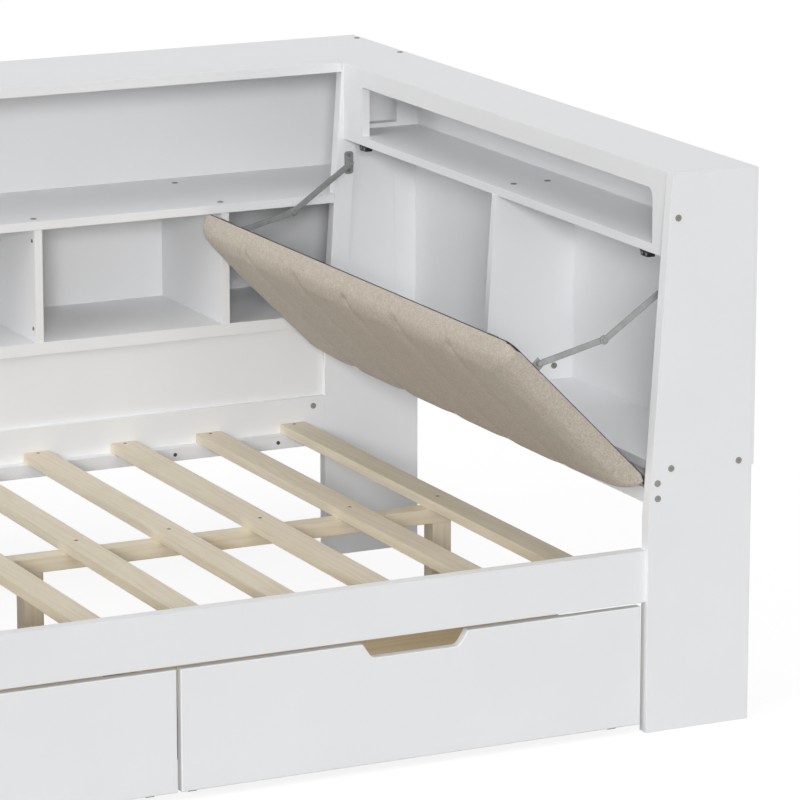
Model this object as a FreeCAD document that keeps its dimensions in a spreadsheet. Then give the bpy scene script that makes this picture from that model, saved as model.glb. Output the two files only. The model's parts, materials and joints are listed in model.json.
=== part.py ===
import FreeCAD, Part
import math
import os

import Sketcher

from FreeCAD import Placement, Rotation, Vector

# Corner bed: a slatted bed between a long back bookcase and an end bookcase.
# The end bookcase has a padded flap on two folding stays, and two drawers on
# wheels run under the bed. Sizes are in millimetres, +Z is up, +X runs along
# the bed towards the end bookcase and +Y runs towards the back bookcase. The
# origin is on the floor under the middle of the footprint.

SIZES = {
    # Carcass of both bookcases
    "end_thick": 25,
    "bed_length": 1912,
    "unit_length": 1400,
    "unit_depth": 220,
    "unit_height": 1070,
    "slant_start": 420,
    "slant_setback": 43,
    "back_depth": 323,
    "skin_thick": 5,
    "top_thick": 20,
    "board_thick": 18,
    "joint_gap": 0.2,
    # Bed base
    "rail_bottom": 255,
    "rail_height": 100,
    "rail_thick": 25,
    "rail_setback": 8,
    "ledger_height": 28,
    "ledger_depth": 25,
    "ledger_end": 10,
    "slat_count": 10,
    "slat_width": 56,
    "slat_thick": 20,
    "slat_margin": 50,
    "slat_gap": 0.5,
    "beam_width": 40,
    "beam_height": 30,
    "leg_size": 40,
    # Back bookcase
    "shelf_space": 261,
    "back_bottom_low": 507,
    "back_bottom_thick": 26,
    "divider_thick": 17,
    "divider_inset": 2,
    "divider_pitch": 421,
    "lower_panel_thick": 12,
    "lower_panel_recess": 10,
    "corner_width": 170,
    "window_lip": 9,
    "window_strip": 27,
    "corner_stile": 42,
    "corner_recess": 10,
    # End bookcase
    "slot_space": 145,
    "right_bottom_low": 502,
    "right_divider_at": 692,
    "skin_lap": 2,
    "frame_inset": 46,
    "frame_thick": 18,
    "slot_margin": 40,
    "slot_front": 58,
    "slot_rear": 89,
    "slot_front_round": 18,
    "slot_rear_round": 6,
    "apron_inset": 10,
    "apron_clear": 15,
    "apron_height": 29,
    "magnet_gap": 0.5,
    "magnet_length": 39,
    "magnet_depth": 16,
    "magnet_height": 11,
    "magnet_front": 66,
    "magnet_rear": 75,
    # Padded flap and its pivots
    "flap_tilt": 44.7,
    "flap_thick": 12,
    "flap_corner": 22,
    "flap_end_gap": 8,
    "flap_start": 6,
    "flap_top_gap": 11,
    "axis_inset": 18,
    "axis_drop": 17,
    "axis_gap": 2,
    "stop_gap": 0.6,
    "cushion_thick": 38,
    "cushion_channels": 6,
    "channel_depth": 9,
    "cushion_end": 16,
    "cushion_end_run": 23,
    "cushion_end_draw": 4.5,
    "cushion_seam_draw": 2,
    "cushion_curl": 0.3,
    "cushion_shoulder": 0.78,
    "cushion_waist": 0.45,
    "cushion_bulge": 3,
    "pivot_radius": 4,
    "pivot_clear": 0.05,
    "bush_radius": 8,
    "bush_clear": 0.3,
    "ear_thick": 3,
    "ear_length": 60,
    "strike_thick": 1.2,
    "strike_height": 15,
    # Folding stays
    "stay_wall_x": 57,
    "stay_wall_drop": 52,
    "stay_from_top": 75,
    "stay_lift": 11,
    "stay_slack": 5,
    "stay_split": 26,
    "stay_clear": 10,
    "link_width": 12,
    "link_thick": 2.5,
    "link_gap": 0.3,
    "knuckle_radius": 8.5,
    "rivet_radius": 3,
    "rivet_head": 5,
    "rivet_head_thick": 1.5,
    "plate_thick": 2,
    "plate_width": 20,
    "plate_height": 48,
    "plate_round": 6,
    "plate_screw_pitch": 32,
    # Drawers and wheels
    "drawer_end_gap": 10,
    "drawer_mid_gap": 8,
    "drawer_low": 16,
    "drawer_top_gap": 8,
    "drawer_front_thick": 18,
    "drawer_edge_round": 2,
    "drawer_back_gap": 83,
    "drawer_side_thick": 12,
    "drawer_side_height": 120,
    "drawer_side_inset": 32,
    "drawer_floor_thick": 6,
    "drawer_floor_rise": 8,
    "notch_top": 215,
    "notch_bottom": 178,
    "notch_depth": 28,
    "notch_round": 18,
    "wheel_radius": 20,
    "wheel_width": 14,
    "wheel_clear": 0.5,
    "axle_radius": 3,
    "fork_gap": 5,
    "fork_thick": 2,
    "fork_length": 36,
    "fork_cheek": 16,
    "fork_front": 29,
    "fork_rear": 60,
    # Screw heads
    "screw_radius": 6.3,
    "screw_height": 1.2,
    "screw_socket": 2.6,
    "small_screw_radius": 4,
    "pocket_clear": 0.3,
    "pocket_sink": 0.2,
    "screw_inset": 28,
    "shelf_screw_inset": 42,
    "top_screw_inset": 42,
    "rear_screw_inset": 56,
    "rail_screw_drop": 20,
    "divider_screw_inset": 14,
    "divider_screw_low": 28,
    "divider_screw_high": 25,
    "bay_screw_x": 177,
    "bay_screw_rise": 28,
    "ledger_screw_end": 122,
    "ledger_screw_pitch": 238,
}

doc = FreeCAD.newDocument("corner_bed")
sheet = doc.addObject("Spreadsheet::Sheet", "dims")
for row, (alias, size) in enumerate(SIZES.items(), start=1):
    sheet.set(f"A{row}", alias)
    sheet.set(f"B{row}", str(size))
    sheet.setAlias(f"B{row}", alias)
doc.recompute()

nodes = []

# Datum planes, as expressions in the sheet's own names
LENGTH = "(dims.end_thick + dims.bed_length + dims.unit_depth + dims.skin_thick)"
DEPTH = "(dims.end_thick + dims.unit_length + dims.back_depth + dims.skin_thick)"
X_LEFT = f"(-{LENGTH} / 2)"
X_BED = f"({X_LEFT} + dims.end_thick)"
X_UNIT = f"({X_BED} + dims.bed_length)"
X_SKIN = f"({X_UNIT} + dims.unit_depth)"
Y_FRONT = f"(-{DEPTH} / 2)"
Y_INNER = f"({Y_FRONT} + dims.end_thick)"
Y_RAIL = f"({Y_FRONT} + dims.rail_setback)"
Y_BED = f"({Y_RAIL} + dims.rail_thick)"
Y_BACK = f"({Y_INNER} + dims.unit_length)"
Y_CORNER = f"({Y_BACK} + dims.end_thick)"
Y_SKIN = f"({Y_BACK} + dims.back_depth)"
Z_TOP = "(dims.unit_height - dims.top_thick)"
Z_RAIL = "(dims.rail_bottom + dims.rail_height)"
Z_SLAT = "(dims.rail_bottom + dims.ledger_height)"
Z_BEAM = f"({Z_SLAT} - dims.beam_height)"
Z_POCKET = f"({Z_SLAT} + dims.slat_thick - dims.screw_height - dims.pocket_sink)"
Z_SHELF = "(dims.unit_height - dims.slot_space)"
Z_SHELF_LOW = f"({Z_SHELF} - dims.board_thick)"
Z_BACK_SHELF = f"({Z_TOP} - dims.shelf_space - dims.board_thick)"
Z_BOTTOM = "(dims.right_bottom_low + dims.board_thick)"
Z_AXIS = "(dims.right_bottom_low - dims.axis_drop)"
X_AXIS = f"({X_UNIT} + dims.axis_inset)"
SLOPE = "(dims.slant_setback / (dims.unit_height - dims.slant_start))"
FLAP_BACK = "(-dims.axis_gap)"
FLAP_FACE = "(-dims.axis_gap - dims.flap_thick)"
FLAP_LENGTH = f"({Z_SHELF_LOW} - {Z_AXIS} - dims.flap_start - dims.flap_top_gap)"
STAY_UP = f"(dims.flap_start + {FLAP_LENGTH} - dims.stay_from_top)"
FLAP_WIDTH = "(dims.unit_length - 2 * dims.flap_end_gap)"


def value(expression):
    """Number that an expression in the sheet's names comes to."""
    return float(sheet.evalExpression(expression))


def slant_at(height):
    """How far the end panels' sloping edge lies behind X_UNIT at a height."""
    return f"(({height} - dims.slant_start) * {SLOPE})"


def stop_at(height):
    """Where a board has to end, behind X_UNIT, to meet the closed flap."""
    return f"(dims.axis_inset - dims.axis_gap + ({height} - {Z_AXIS}) * {SLOPE} + dims.stop_gap)"


def keep(part, name):
    """Count a finished object as a sub-part under its own label."""
    part.Label = name
    nodes.append(part)
    return part


def bind_place(part, start):
    """Tie the place of an object to three expressions."""
    for axis, expression in zip("xyz", start):
        part.setExpression(f"Placement.Base.{axis}", expression)


def board(name, x, y, z):
    """Flat board from a start and a size along each axis."""
    box = doc.addObject("Part::Box", name)
    for side, (start, size) in zip(("Length", "Width", "Height"), (x, y, z)):
        box.setExpression(side, size)
    bind_place(box, (x[0], y[0], z[0]))
    return box


AXIS_TURNS = {
    "x": Rotation(Vector(0, 1, 0), 90),
    "y": Rotation(Vector(1, 0, 0), -90),
    "z": Rotation(),
}


def rod(name, radius, length, start, axis):
    """Round bar from a start point along one axis."""
    bar = doc.addObject("Part::Cylinder", name)
    bar.setExpression("Radius", radius)
    bar.setExpression("Height", length)
    bar.Placement = Placement(Vector(), AXIS_TURNS[axis])
    bind_place(bar, start)
    return bar


def prism(name, plane, outline, thick, start=("0", "0", "0")):
    """Board with a drawn outline: its corners are pairs of expressions."""
    body = doc.addObject("PartDesign::Body", name)
    sketch = body.newObject("Sketcher::SketchObject", name + "_outline")
    support = next(item for item in body.Origin.OriginFeatures if item.Role == plane)
    sketch.AttachmentSupport = [(support, "")]
    sketch.MapMode = "FlatFace"
    corners = [Vector(value(across), value(up), 0) for across, up in outline]
    count = len(corners)
    for index, corner in enumerate(corners):
        sketch.addGeometry(Part.LineSegment(corner, corners[(index + 1) % count]), False)
    for index in range(count):
        sketch.addConstraint(Sketcher.Constraint("Coincident", index, 2, (index + 1) % count, 1))
    for index, corner in enumerate(outline):
        for kind, expression in zip(("DistanceX", "DistanceY"), corner):
            rule = Sketcher.Constraint(kind, index, 1, value(expression))
            place = sketch.addConstraint(rule)
            sketch.setExpression(f"Constraints[{place}]", expression)
    pad = body.newObject("PartDesign::Pad", name + "_pad")
    pad.Profile = sketch
    pad.Reversed = plane == "XZ_Plane"
    pad.setExpression("Length", thick)
    bind_place(body, start)
    doc.recompute()
    return body


def round_edges(body, name, radius, picked):
    """Round the edges of a drawn board that a test picks."""
    base = body.Tip
    edges = [f"Edge{index}" for index, edge in enumerate(base.Shape.Edges, start=1) if picked(edge)]
    fillet = body.newObject("PartDesign::Fillet", name)
    fillet.Base = (base, edges)
    fillet.setExpression("Radius", radius)
    doc.recompute()


def cut(name, base, tool):
    """One object with another taken out of it."""
    result = doc.addObject("Part::Cut", name)
    result.Base = base
    result.Tool = tool
    return result


def fuse(name, parts):
    """Several objects joined into one solid."""
    result = doc.addObject("Part::MultiFuse", name)
    result.Shapes = parts
    return result


def group(name, parts):
    """Several separate solids that share one node."""
    result = doc.addObject("Part::Compound", name)
    result.Links = parts
    return result


def runs_along(edge, axis):
    """Whether an edge is straight and parallel to an axis."""
    if not isinstance(edge.Curve, Part.Line):
        return False
    return abs(abs(edge.Curve.Direction.dot(axis)) - 1) < 1e-6


def build_end_panels():
    """End panels of the end bookcase, with the bores for the flap's pivots."""
    bore_radius = "dims.pivot_radius + dims.pivot_clear"
    front = prism(
        "front_end_board", "XZ_Plane",
        [("0", "0"), ("dims.unit_depth", "0"), ("dims.unit_depth", "dims.unit_height"),
         ("dims.slant_setback", "dims.unit_height"), ("0", "dims.slant_start")],
        "dims.end_thick", (X_UNIT, Y_FRONT, "0"))
    front_bore = rod("front_bore", bore_radius, "dims.end_thick", (X_AXIS, Y_FRONT, Z_AXIS), "y")
    keep(cut("front_end_cut", front, front_bore), "front_end_panel")

    window_low = f"{Z_SHELF} + dims.window_lip"
    strip = "dims.slant_setback + dims.window_strip"
    corner = prism(
        "corner_board", "XZ_Plane",
        [("0", "0"), ("dims.corner_width", "0"), ("dims.corner_width", window_low),
         (strip, window_low), (strip, Z_TOP), ("dims.corner_width", Z_TOP),
         ("dims.corner_width", "dims.unit_height"), ("dims.slant_setback", "dims.unit_height"),
         ("0", "dims.slant_start")],
        "dims.end_thick", (X_UNIT, Y_BACK, "0"))
    corner_bore = rod("corner_bore", bore_radius, "dims.end_thick", (X_AXIS, Y_BACK, Z_AXIS), "y")
    drilled = cut("corner_drilled", corner, corner_bore)
    keep(cut("corner_cut", drilled, stile_recess("corner_recess_tool")), "corner_panel")
    post = board("corner_post_board", (f"{X_UNIT} + dims.corner_width", "dims.unit_depth - dims.corner_width"),
                 (Y_BACK, "dims.end_thick"), ("0", "dims.unit_height"))
    keep(cut("corner_post_cut", post, stile_recess("post_recess_tool")), "corner_post")


def stile_recess(name):
    """Shallow recess behind the sloping stile of the rear end panel, as high as the flap's bay."""
    bay = f"({Z_SHELF_LOW} - {Z_BOTTOM})"
    return prism(
        name, "XZ_Plane",
        [(f"{slant_at(Z_BOTTOM)} + dims.corner_stile", "0"), ("dims.unit_depth", "0"), ("dims.unit_depth", bay),
         (f"{slant_at(Z_SHELF_LOW)} + dims.corner_stile", bay)],
        "dims.corner_recess", (X_UNIT, Y_BACK, Z_BOTTOM))


def build_end_bookcase():
    """Top, slot frame, shelf, divider, bottom and its rail, apron and back of the end bookcase."""
    across = (Y_INNER, "dims.unit_length")
    frame_back = "dims.frame_inset + dims.frame_thick"
    keep(board("right_top_board", (f"{X_UNIT} + {frame_back}", f"dims.unit_depth - ({frame_back})"),
               across, (Z_TOP, "dims.top_thick")), "right_top")

    height = "dims.slot_space"
    opening = "dims.slot_space - dims.slot_margin"
    far_stile = "dims.unit_length - dims.slot_rear"
    frame = prism(
        "slot_board", "YZ_Plane",
        [("0", "0"), ("dims.slot_front", "0"), ("dims.slot_front", opening), (far_stile, opening),
         (far_stile, "0"), ("dims.unit_length", "0"), ("dims.unit_length", height), ("0", height)],
        "dims.frame_thick", (f"{X_UNIT} + dims.frame_inset", Y_INNER, Z_SHELF))
    slot_top = value(opening)
    for end, place in (("front", "dims.slot_front"), ("rear", far_stile)):
        corner = Vector(0, value(place), slot_top)

        def is_slot_corner(edge):
            spot = edge.CenterOfMass
            return runs_along(edge, Vector(1, 0, 0)) and math.hypot(spot.y - corner.y, spot.z - corner.z) < 0.01

        round_edges(frame, f"slot_{end}_round", f"dims.slot_{end}_round", is_slot_corner)
    keep(frame, "slot_frame")

    keep(board("right_shelf_board",
               (f"{X_UNIT} + dims.frame_inset", "dims.unit_depth - dims.frame_inset"), across,
               (Z_SHELF_LOW, "dims.board_thick")), "right_shelf")
    divider_height = f"({Z_SHELF_LOW} - {Z_BOTTOM})"
    keep(prism(
        "right_divider_board", "XZ_Plane",
        [(stop_at(Z_BOTTOM), "0"), ("dims.unit_depth", "0"), ("dims.unit_depth", divider_height),
         (stop_at(Z_SHELF_LOW), divider_height)],
        "dims.board_thick", (X_UNIT, f"{Y_INNER} + dims.right_divider_at", Z_BOTTOM)), "right_divider")
    bottom_front = stop_at(Z_BOTTOM)
    keep(board("right_bottom_board", (f"{X_UNIT} + {bottom_front}", f"dims.unit_depth - {bottom_front}"),
               across, ("dims.right_bottom_low", "dims.board_thick")), "right_bottom")
    apron_top = f"({Z_AXIS} - dims.apron_clear)"
    keep(board("apron_board", (f"{X_UNIT} + dims.apron_inset", "dims.board_thick"), across,
               (f"{apron_top} - dims.apron_height", "dims.apron_height")), "apron")
    rail_front = f"{X_AXIS} + dims.bush_radius + dims.axis_gap"
    keep(board("bottom_rail_board", (rail_front, "dims.board_thick"), across,
               (apron_top, f"dims.right_bottom_low - {apron_top}")), "bottom_rail")
    skin_low = "dims.right_bottom_low - dims.skin_lap"
    keep(board("right_skin_board", (X_SKIN, "dims.skin_thick"),
               (Y_FRONT, "dims.end_thick + dims.unit_length + dims.back_depth"),
               (skin_low, f"dims.unit_height - ({skin_low})")), "right_back_skin")

    catch_front = f"{X_UNIT} + {stop_at(Z_SHELF_LOW)} + dims.magnet_gap"
    catches = []
    for name, start in (("front", f"{Y_INNER} + dims.magnet_front"),
                        ("rear", f"{Y_BACK} - dims.magnet_rear - dims.magnet_length")):
        catches.append(board(f"{name}_catch", (catch_front, "dims.magnet_depth"),
                             (start, "dims.magnet_length"),
                             (f"{Z_SHELF_LOW} - dims.magnet_height", "dims.magnet_height")))
    keep(group("catches", catches), "magnet_catches")


def notched_board(name, low, thick):
    """Long board of the back bookcase, cut round the corner panel."""
    whole = board(f"{name}_whole", (X_BED, "dims.bed_length + dims.unit_depth - dims.board_thick"),
                  (Y_BACK, "dims.back_depth"), (low, thick))
    notch_start = f"{X_UNIT} + {slant_at(low)} - dims.joint_gap"
    notch = board(f"{name}_notch", (notch_start, "dims.unit_depth"), (Y_BACK, "dims.end_thick"),
                  (low, thick))
    keep(cut(f"{name}_cut", whole, notch), name)


def build_back_bookcase():
    """Boards of the long back bookcase."""
    whole = board("back_top_whole", (X_LEFT, f"{LENGTH} - dims.skin_thick"), (Y_BACK, "dims.back_depth"),
                  (Z_TOP, "dims.top_thick"))
    notch = board("back_top_notch", (f"{X_UNIT} + {slant_at(Z_TOP)} - dims.joint_gap", "dims.unit_depth"),
                  (Y_BACK, "dims.end_thick"), (Z_TOP, "dims.top_thick"))
    keep(cut("back_top_cut", whole, notch), "back_top")
    keep(board("back_left_board", (X_LEFT, "dims.end_thick"), (Y_BACK, "dims.back_depth"),
               ("0", Z_TOP)), "back_left_end")
    keep(board("corner_end_board", (f"{X_SKIN} - dims.board_thick", "dims.board_thick"),
               (Y_CORNER, "dims.back_depth - dims.end_thick"), ("0", Z_TOP)), "corner_end_panel")
    notched_board("back_shelf", Z_BACK_SHELF, "dims.board_thick")
    notched_board("back_bottom", "dims.back_bottom_low", "dims.back_bottom_thick")

    base = "(dims.back_bottom_low + dims.back_bottom_thick)"
    count = int(value("dims.bed_length") // value("dims.divider_pitch"))
    dividers = []
    for index in range(1, count + 1):
        middle = f"{X_BED} + {index} * dims.divider_pitch - dims.divider_thick / 2"
        dividers.append(board(f"divider_{index}", (middle, "dims.divider_thick"),
                              (f"{Y_BACK} + dims.divider_inset", "dims.back_depth - dims.divider_inset"),
                              (base, f"{Z_BACK_SHELF} - {base}")))
    keep(group("dividers", dividers), "back_dividers")

    keep(board("back_skin_board", (X_LEFT, LENGTH), (Y_SKIN, "dims.skin_thick"),
               ("dims.back_bottom_low", "dims.unit_height - dims.back_bottom_low")), "back_skin")
    keep(board("lower_panel_board", (X_BED, "dims.bed_length"),
               (f"{Y_BACK} + dims.lower_panel_recess", "dims.lower_panel_thick"),
               (Z_RAIL, f"dims.back_bottom_low - {Z_RAIL}")), "back_lower_panel")


def build_bed_base():
    """Rails, ledgers, slats, centre beam and its legs, and the low end board."""
    along = (X_BED, "dims.bed_length")
    upright = ("dims.rail_bottom", "dims.rail_height")
    keep(board("left_board", (X_LEFT, "dims.end_thick"), (Y_FRONT, "dims.end_thick + dims.unit_length"),
               ("0", Z_RAIL)), "left_end_panel")
    keep(board("front_rail_board", along, (Y_RAIL, "dims.rail_thick"), upright), "front_rail")
    keep(board("back_rail_board", along, (Y_BACK, "dims.rail_thick"), upright), "back_rail")
    ledger_run = (f"{X_BED} + dims.ledger_end", "dims.bed_length - 2 * dims.ledger_end")
    ledger_rise = ("dims.rail_bottom", "dims.ledger_height")
    keep(board("front_ledger_strip", ledger_run, (Y_BED, "dims.ledger_depth"), ledger_rise), "front_ledger")
    keep(board("back_ledger_strip", ledger_run, (f"{Y_BACK} - dims.ledger_depth", "dims.ledger_depth"),
               ledger_rise), "back_ledger")

    slats = []
    for index in range(int(value("dims.slat_count"))):
        slats.append(slat(f"slat_{index + 1}", index))
    keep(group("slat_set", slats), "slats")

    beam_start = "(dims.slat_margin + (dims.slat_width - dims.leg_size) / 2)"
    beam_length = f"(dims.bed_length - 2 * {beam_start})"
    keep(board("beam", (f"{X_BED} + {beam_start}", beam_length),
               (f"{beam_middle()} - dims.beam_width / 2", "dims.beam_width"), (Z_BEAM, "dims.beam_height")),
         "centre_beam")
    legs = []
    for index in range(3):
        start = f"{X_BED} + {beam_start} + {index} * ({beam_length} - dims.leg_size) / 2"
        legs.append(board(f"leg_{index + 1}", (start, "dims.leg_size"),
                          (f"{beam_middle()} - dims.leg_size / 2", "dims.leg_size"), ("0", Z_BEAM)))
    keep(group("leg_set", legs), "centre_legs")


def slat(name, index):
    """One slat, with shallow pockets that sink its screw heads below the mattress."""
    blank = board(f"{name}_blank", (slat_start(index), "dims.slat_width"),
                  (f"{Y_BED} + dims.slat_gap", f"{Y_BACK} - {Y_BED} - 2 * dims.slat_gap"),
                  (Z_SLAT, "dims.slat_thick"))
    pockets = []
    for row, line in enumerate(slat_screw_lines(), start=1):
        spot = (f"{slat_start(index)} + dims.slat_width / 2", line, Z_POCKET)
        pockets.append(rod(f"{name}_pocket_{row}", "dims.small_screw_radius + dims.pocket_clear",
                           "dims.screw_height + dims.pocket_sink", spot, "z"))
    return cut(name, blank, fuse(f"{name}_pockets", pockets))


def slat_screw_lines():
    """Lines across the bed where each slat is screwed to a ledger or the beam."""
    return (f"({Y_BED} + dims.ledger_depth / 2)", beam_middle(), f"({Y_BACK} - dims.ledger_depth / 2)")


def slat_start(index):
    """Left edge of one slat."""
    spread = "(dims.bed_length - 2 * dims.slat_margin - dims.slat_width)"
    return f"({X_BED} + dims.slat_margin + {index} * {spread} / (dims.slat_count - 1))"


def beam_middle():
    """Line half way between the front rail and the back rail."""
    return f"(({Y_BED} + {Y_BACK}) / 2)"


def flap_frame():
    """Placement of the flap: local X leaves its back, local Z runs up it from the pivot."""
    turn = Rotation(Vector(0, 1, 0), -value("dims.flap_tilt"))
    return Placement(Vector(value(X_AXIS), value(Y_FRONT), value(Z_AXIS)), turn)


def on_flap(part, start, turn=None):
    """Set a part against the tilted flap, from a start in the flap's own frame."""
    local = Placement(Vector(*(value(expression) for expression in start)), turn or Rotation())
    part.Placement = flap_frame().multiply(local)
    return part


def flap_box(name, x, y, z):
    """Box in the flap's own frame, from a start and a size along each axis."""
    box = doc.addObject("Part::Box", name)
    for side, (start, size) in zip(("Length", "Width", "Height"), (x, y, z)):
        box.setExpression(side, size)
    return on_flap(box, (x[0], y[0], z[0]))


def flap_rod(name, radius, length, start):
    """Round bar along Y in the flap's own frame."""
    bar = doc.addObject("Part::Cylinder", name)
    bar.setExpression("Radius", radius)
    bar.setExpression("Height", length)
    return on_flap(bar, start, AXIS_TURNS["y"])


def from_side(side, inset, thick):
    """Start, from the front face, of a piece that lies inset from an end panel."""
    if side == "front":
        return f"(dims.end_thick + {inset})"
    return f"(dims.end_thick + dims.unit_length - ({inset}) - ({thick}))"


def cushion_section(along, thick, draw_in):
    """Outline of the cushion across the flap: flat back, rounded ends, crowned face."""
    back = value(FLAP_FACE)
    low = value("dims.flap_start") + draw_in
    high = value(f"dims.flap_start + {FLAP_LENGTH}") - draw_in
    shoulder = back - value("dims.cushion_shoulder") * thick
    curl = value("dims.cushion_curl") * thick
    ends = [Vector(back, along, low), Vector(back, along, high),
            Vector(shoulder, along, high - curl), Vector(shoulder, along, low + curl)]
    waist = back - value("dims.cushion_waist") * thick
    bulge = value("dims.cushion_bulge / dims.cushion_thick") * thick
    top_mid = Vector(waist, along, high + bulge)
    low_mid = Vector(waist, along, low - bulge)
    crown = Vector(back - thick, along, (low + high) / 2)
    edges = [Part.LineSegment(ends[0], ends[1]).toShape(),
             Part.Arc(ends[1], top_mid, ends[2]).toShape(),
             Part.Arc(ends[2], crown, ends[3]).toShape(),
             Part.Arc(ends[3], low_mid, ends[0]).toShape()]
    return Part.Wire(edges)


def build_cushion():
    """Padded face of the flap: puffed channels sewn across it, drawn in at the ends."""
    start = value("dims.end_thick + dims.flap_end_gap")
    width = value(FLAP_WIDTH)
    full = value("dims.cushion_thick")
    seam = full - value("dims.channel_depth")
    end = value("dims.cushion_end")
    run = value("dims.cushion_end_run")
    end_draw = value("dims.cushion_end_draw")
    seam_draw = value("dims.cushion_seam_draw")
    channels = int(value("dims.cushion_channels"))
    step = width / channels
    sections = [cushion_section(start, end, end_draw),
                cushion_section(start + run, (full + seam) / 2, seam_draw)]
    for index in range(channels):
        sections.append(cushion_section(start + (index + 0.5) * step, full, 0))
        if index < channels - 1:
            sections.append(cushion_section(start + (index + 1) * step, seam, seam_draw))
    sections.append(cushion_section(start + width - run, (full + seam) / 2, seam_draw))
    sections.append(cushion_section(start + width, end, end_draw))
    pad = doc.addObject("Part::Feature", "cushion")
    pad.Shape = Part.makeLoft(sections, True, False)
    pad.Placement = flap_frame()
    keep(pad, "flap_cushion")


def build_flap():
    """Flap board, its cushion, end ears on pivot bolts, bushes and strike plates."""
    first = "(dims.end_thick + dims.flap_end_gap)"
    panel = prism("flap_panel", "YZ_Plane",
                  [("0", "0"), (FLAP_WIDTH, "0"), (FLAP_WIDTH, FLAP_LENGTH), ("0", FLAP_LENGTH)],
                  "dims.flap_thick")
    half_way = value(f"{FLAP_LENGTH} / 2")
    round_edges(panel, "flap_round", "dims.flap_corner",
                lambda edge: runs_along(edge, Vector(1, 0, 0)) and edge.CenterOfMass.z > half_way)
    keep(panel, "flap_board")
    for axis in "xyz":
        panel.setExpression(f"Placement.Base.{axis}", None)
    on_flap(panel, (FLAP_FACE, first, "dims.flap_start"))
    build_cushion()

    bolts, ears, bushes = [], [], []
    gap = "dims.flap_end_gap"
    ear_inset = f"{gap} - dims.ear_thick"
    bush_length = f"({ear_inset} - dims.bush_clear)"
    bolt_length = f"(dims.end_thick + {gap} - dims.bush_clear)"
    for side in ("front", "rear"):
        ear_y = from_side(side, ear_inset, "dims.ear_thick")
        strap = flap_box(f"{side}_ear_strap", (FLAP_FACE, "dims.flap_thick"), (ear_y, "dims.ear_thick"),
                         ("0", "dims.ear_length"))
        eye = flap_rod(f"{side}_ear_eye", "dims.bush_radius", "dims.ear_thick", ("0", ear_y, "0"))
        hole = flap_rod(f"{side}_ear_hole", "dims.pivot_radius + dims.pivot_clear", "dims.ear_thick",
                        ("0", ear_y, "0"))
        ears.append(cut(f"{side}_ear", fuse(f"{side}_ear_body", [strap, eye]), hole))

        bush_y = f"{Y_FRONT} + " + from_side(side, "0", bush_length)
        ring = rod(f"{side}_bush_ring", "dims.bush_radius", bush_length, (X_AXIS, bush_y, Z_AXIS), "y")
        ring_hole = rod(f"{side}_bush_hole", "dims.pivot_radius + dims.pivot_clear", bush_length,
                        (X_AXIS, bush_y, Z_AXIS), "y")
        bushes.append(cut(f"{side}_bush", ring, ring_hole))

        bolt_y = f"{Y_FRONT} + " + from_side(side, "-dims.end_thick", bolt_length)
        head_y = f"{Y_FRONT} + " + from_side(side, "-dims.end_thick - dims.screw_height", "dims.screw_height")
        shank = rod(f"{side}_bolt_shank", "dims.pivot_radius", bolt_length, (X_AXIS, bolt_y, Z_AXIS), "y")
        head = rod(f"{side}_bolt_head", "dims.screw_radius", "dims.screw_height", (X_AXIS, head_y, Z_AXIS), "y")
        bolts.append(fuse(f"{side}_bolt", [shank, head]))
    keep(group("bolts", bolts), "pivot_bolts")
    keep(group("ears", ears), "pivot_ears")
    keep(group("bushes", bushes), "pivot_bushes")

    strikes = []
    high = f"dims.flap_start + {FLAP_LENGTH} - dims.strike_height"
    for side, start in (("front", "dims.end_thick + dims.magnet_front"),
                        ("rear", "dims.end_thick + dims.unit_length - dims.magnet_rear - dims.magnet_length")):
        strikes.append(flap_box(f"{side}_strike", (FLAP_BACK, "dims.strike_thick"),
                                (start, "dims.magnet_length"), (high, "dims.strike_height")))
    keep(group("strikes", strikes), "strike_plates")


def stay_points():
    """Wall pivot, knuckle and flap pivot of a stay in the X-Z plane, and its link lengths."""
    wall = Vector(value(f"{X_UNIT} + dims.stay_wall_x"), 0, value(f"{Z_SHELF_LOW} - dims.stay_wall_drop"))
    local = Vector(value(f"{FLAP_BACK} + dims.stay_lift"), 0, value(STAY_UP))
    flap = flap_frame().multVec(local)
    flap.y = 0
    span = flap - wall
    reach = span.Length + value("dims.stay_slack")
    upper = (reach + value("dims.stay_split")) / 2
    lower = reach - upper
    along = (upper ** 2 - lower ** 2 + span.Length ** 2) / (2 * span.Length)
    aside = math.sqrt(upper ** 2 - along ** 2)
    unit = span.normalize()
    knuckle = wall + unit * along + Vector(-unit.z, 0, unit.x) * aside
    return wall, knuckle, flap, upper, lower


def stay_link(name, start, towards, side, inset, rivet_outside):
    """Flat link with a bored eye at its start, and a disc and rivet head at the knuckle."""
    length = (towards - start).Length
    half = "dims.link_width / 2"
    bar = doc.addObject("Part::Box", f"{name}_bar")
    bar.Length = length
    bar.setExpression("Width", "dims.link_thick")
    bar.setExpression("Height", "dims.link_width")
    bar.setExpression("Placement.Base.z", f"-{half}")
    eye = rod(f"{name}_eye", half, "dims.link_thick", ("0", "0", "0"), "y")
    tip = rod(f"{name}_tip", "dims.knuckle_radius", "dims.link_thick", (str(length), "0", "0"), "y")
    head_y = "-dims.rivet_head_thick" if rivet_outside else "dims.link_thick"
    head = rod(f"{name}_rivet", "dims.rivet_head", "dims.rivet_head_thick", (str(length), head_y, "0"), "y")
    hole = rod(f"{name}_hole", "dims.rivet_radius + dims.pivot_clear", "dims.link_thick", ("0", "0", "0"), "y")
    link = cut(f"{name}_cut", fuse(f"{name}_body", [bar, eye, tip, head]), hole)
    run = towards - start
    turn = Rotation(Vector(0, 1, 0), -math.degrees(math.atan2(run.z, run.x)))
    across = value(f"{Y_FRONT} + {from_side(side, inset, 'dims.link_thick')}")
    link.Placement = Placement(Vector(start.x, across, start.z), turn)
    keep(link, name)


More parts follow.
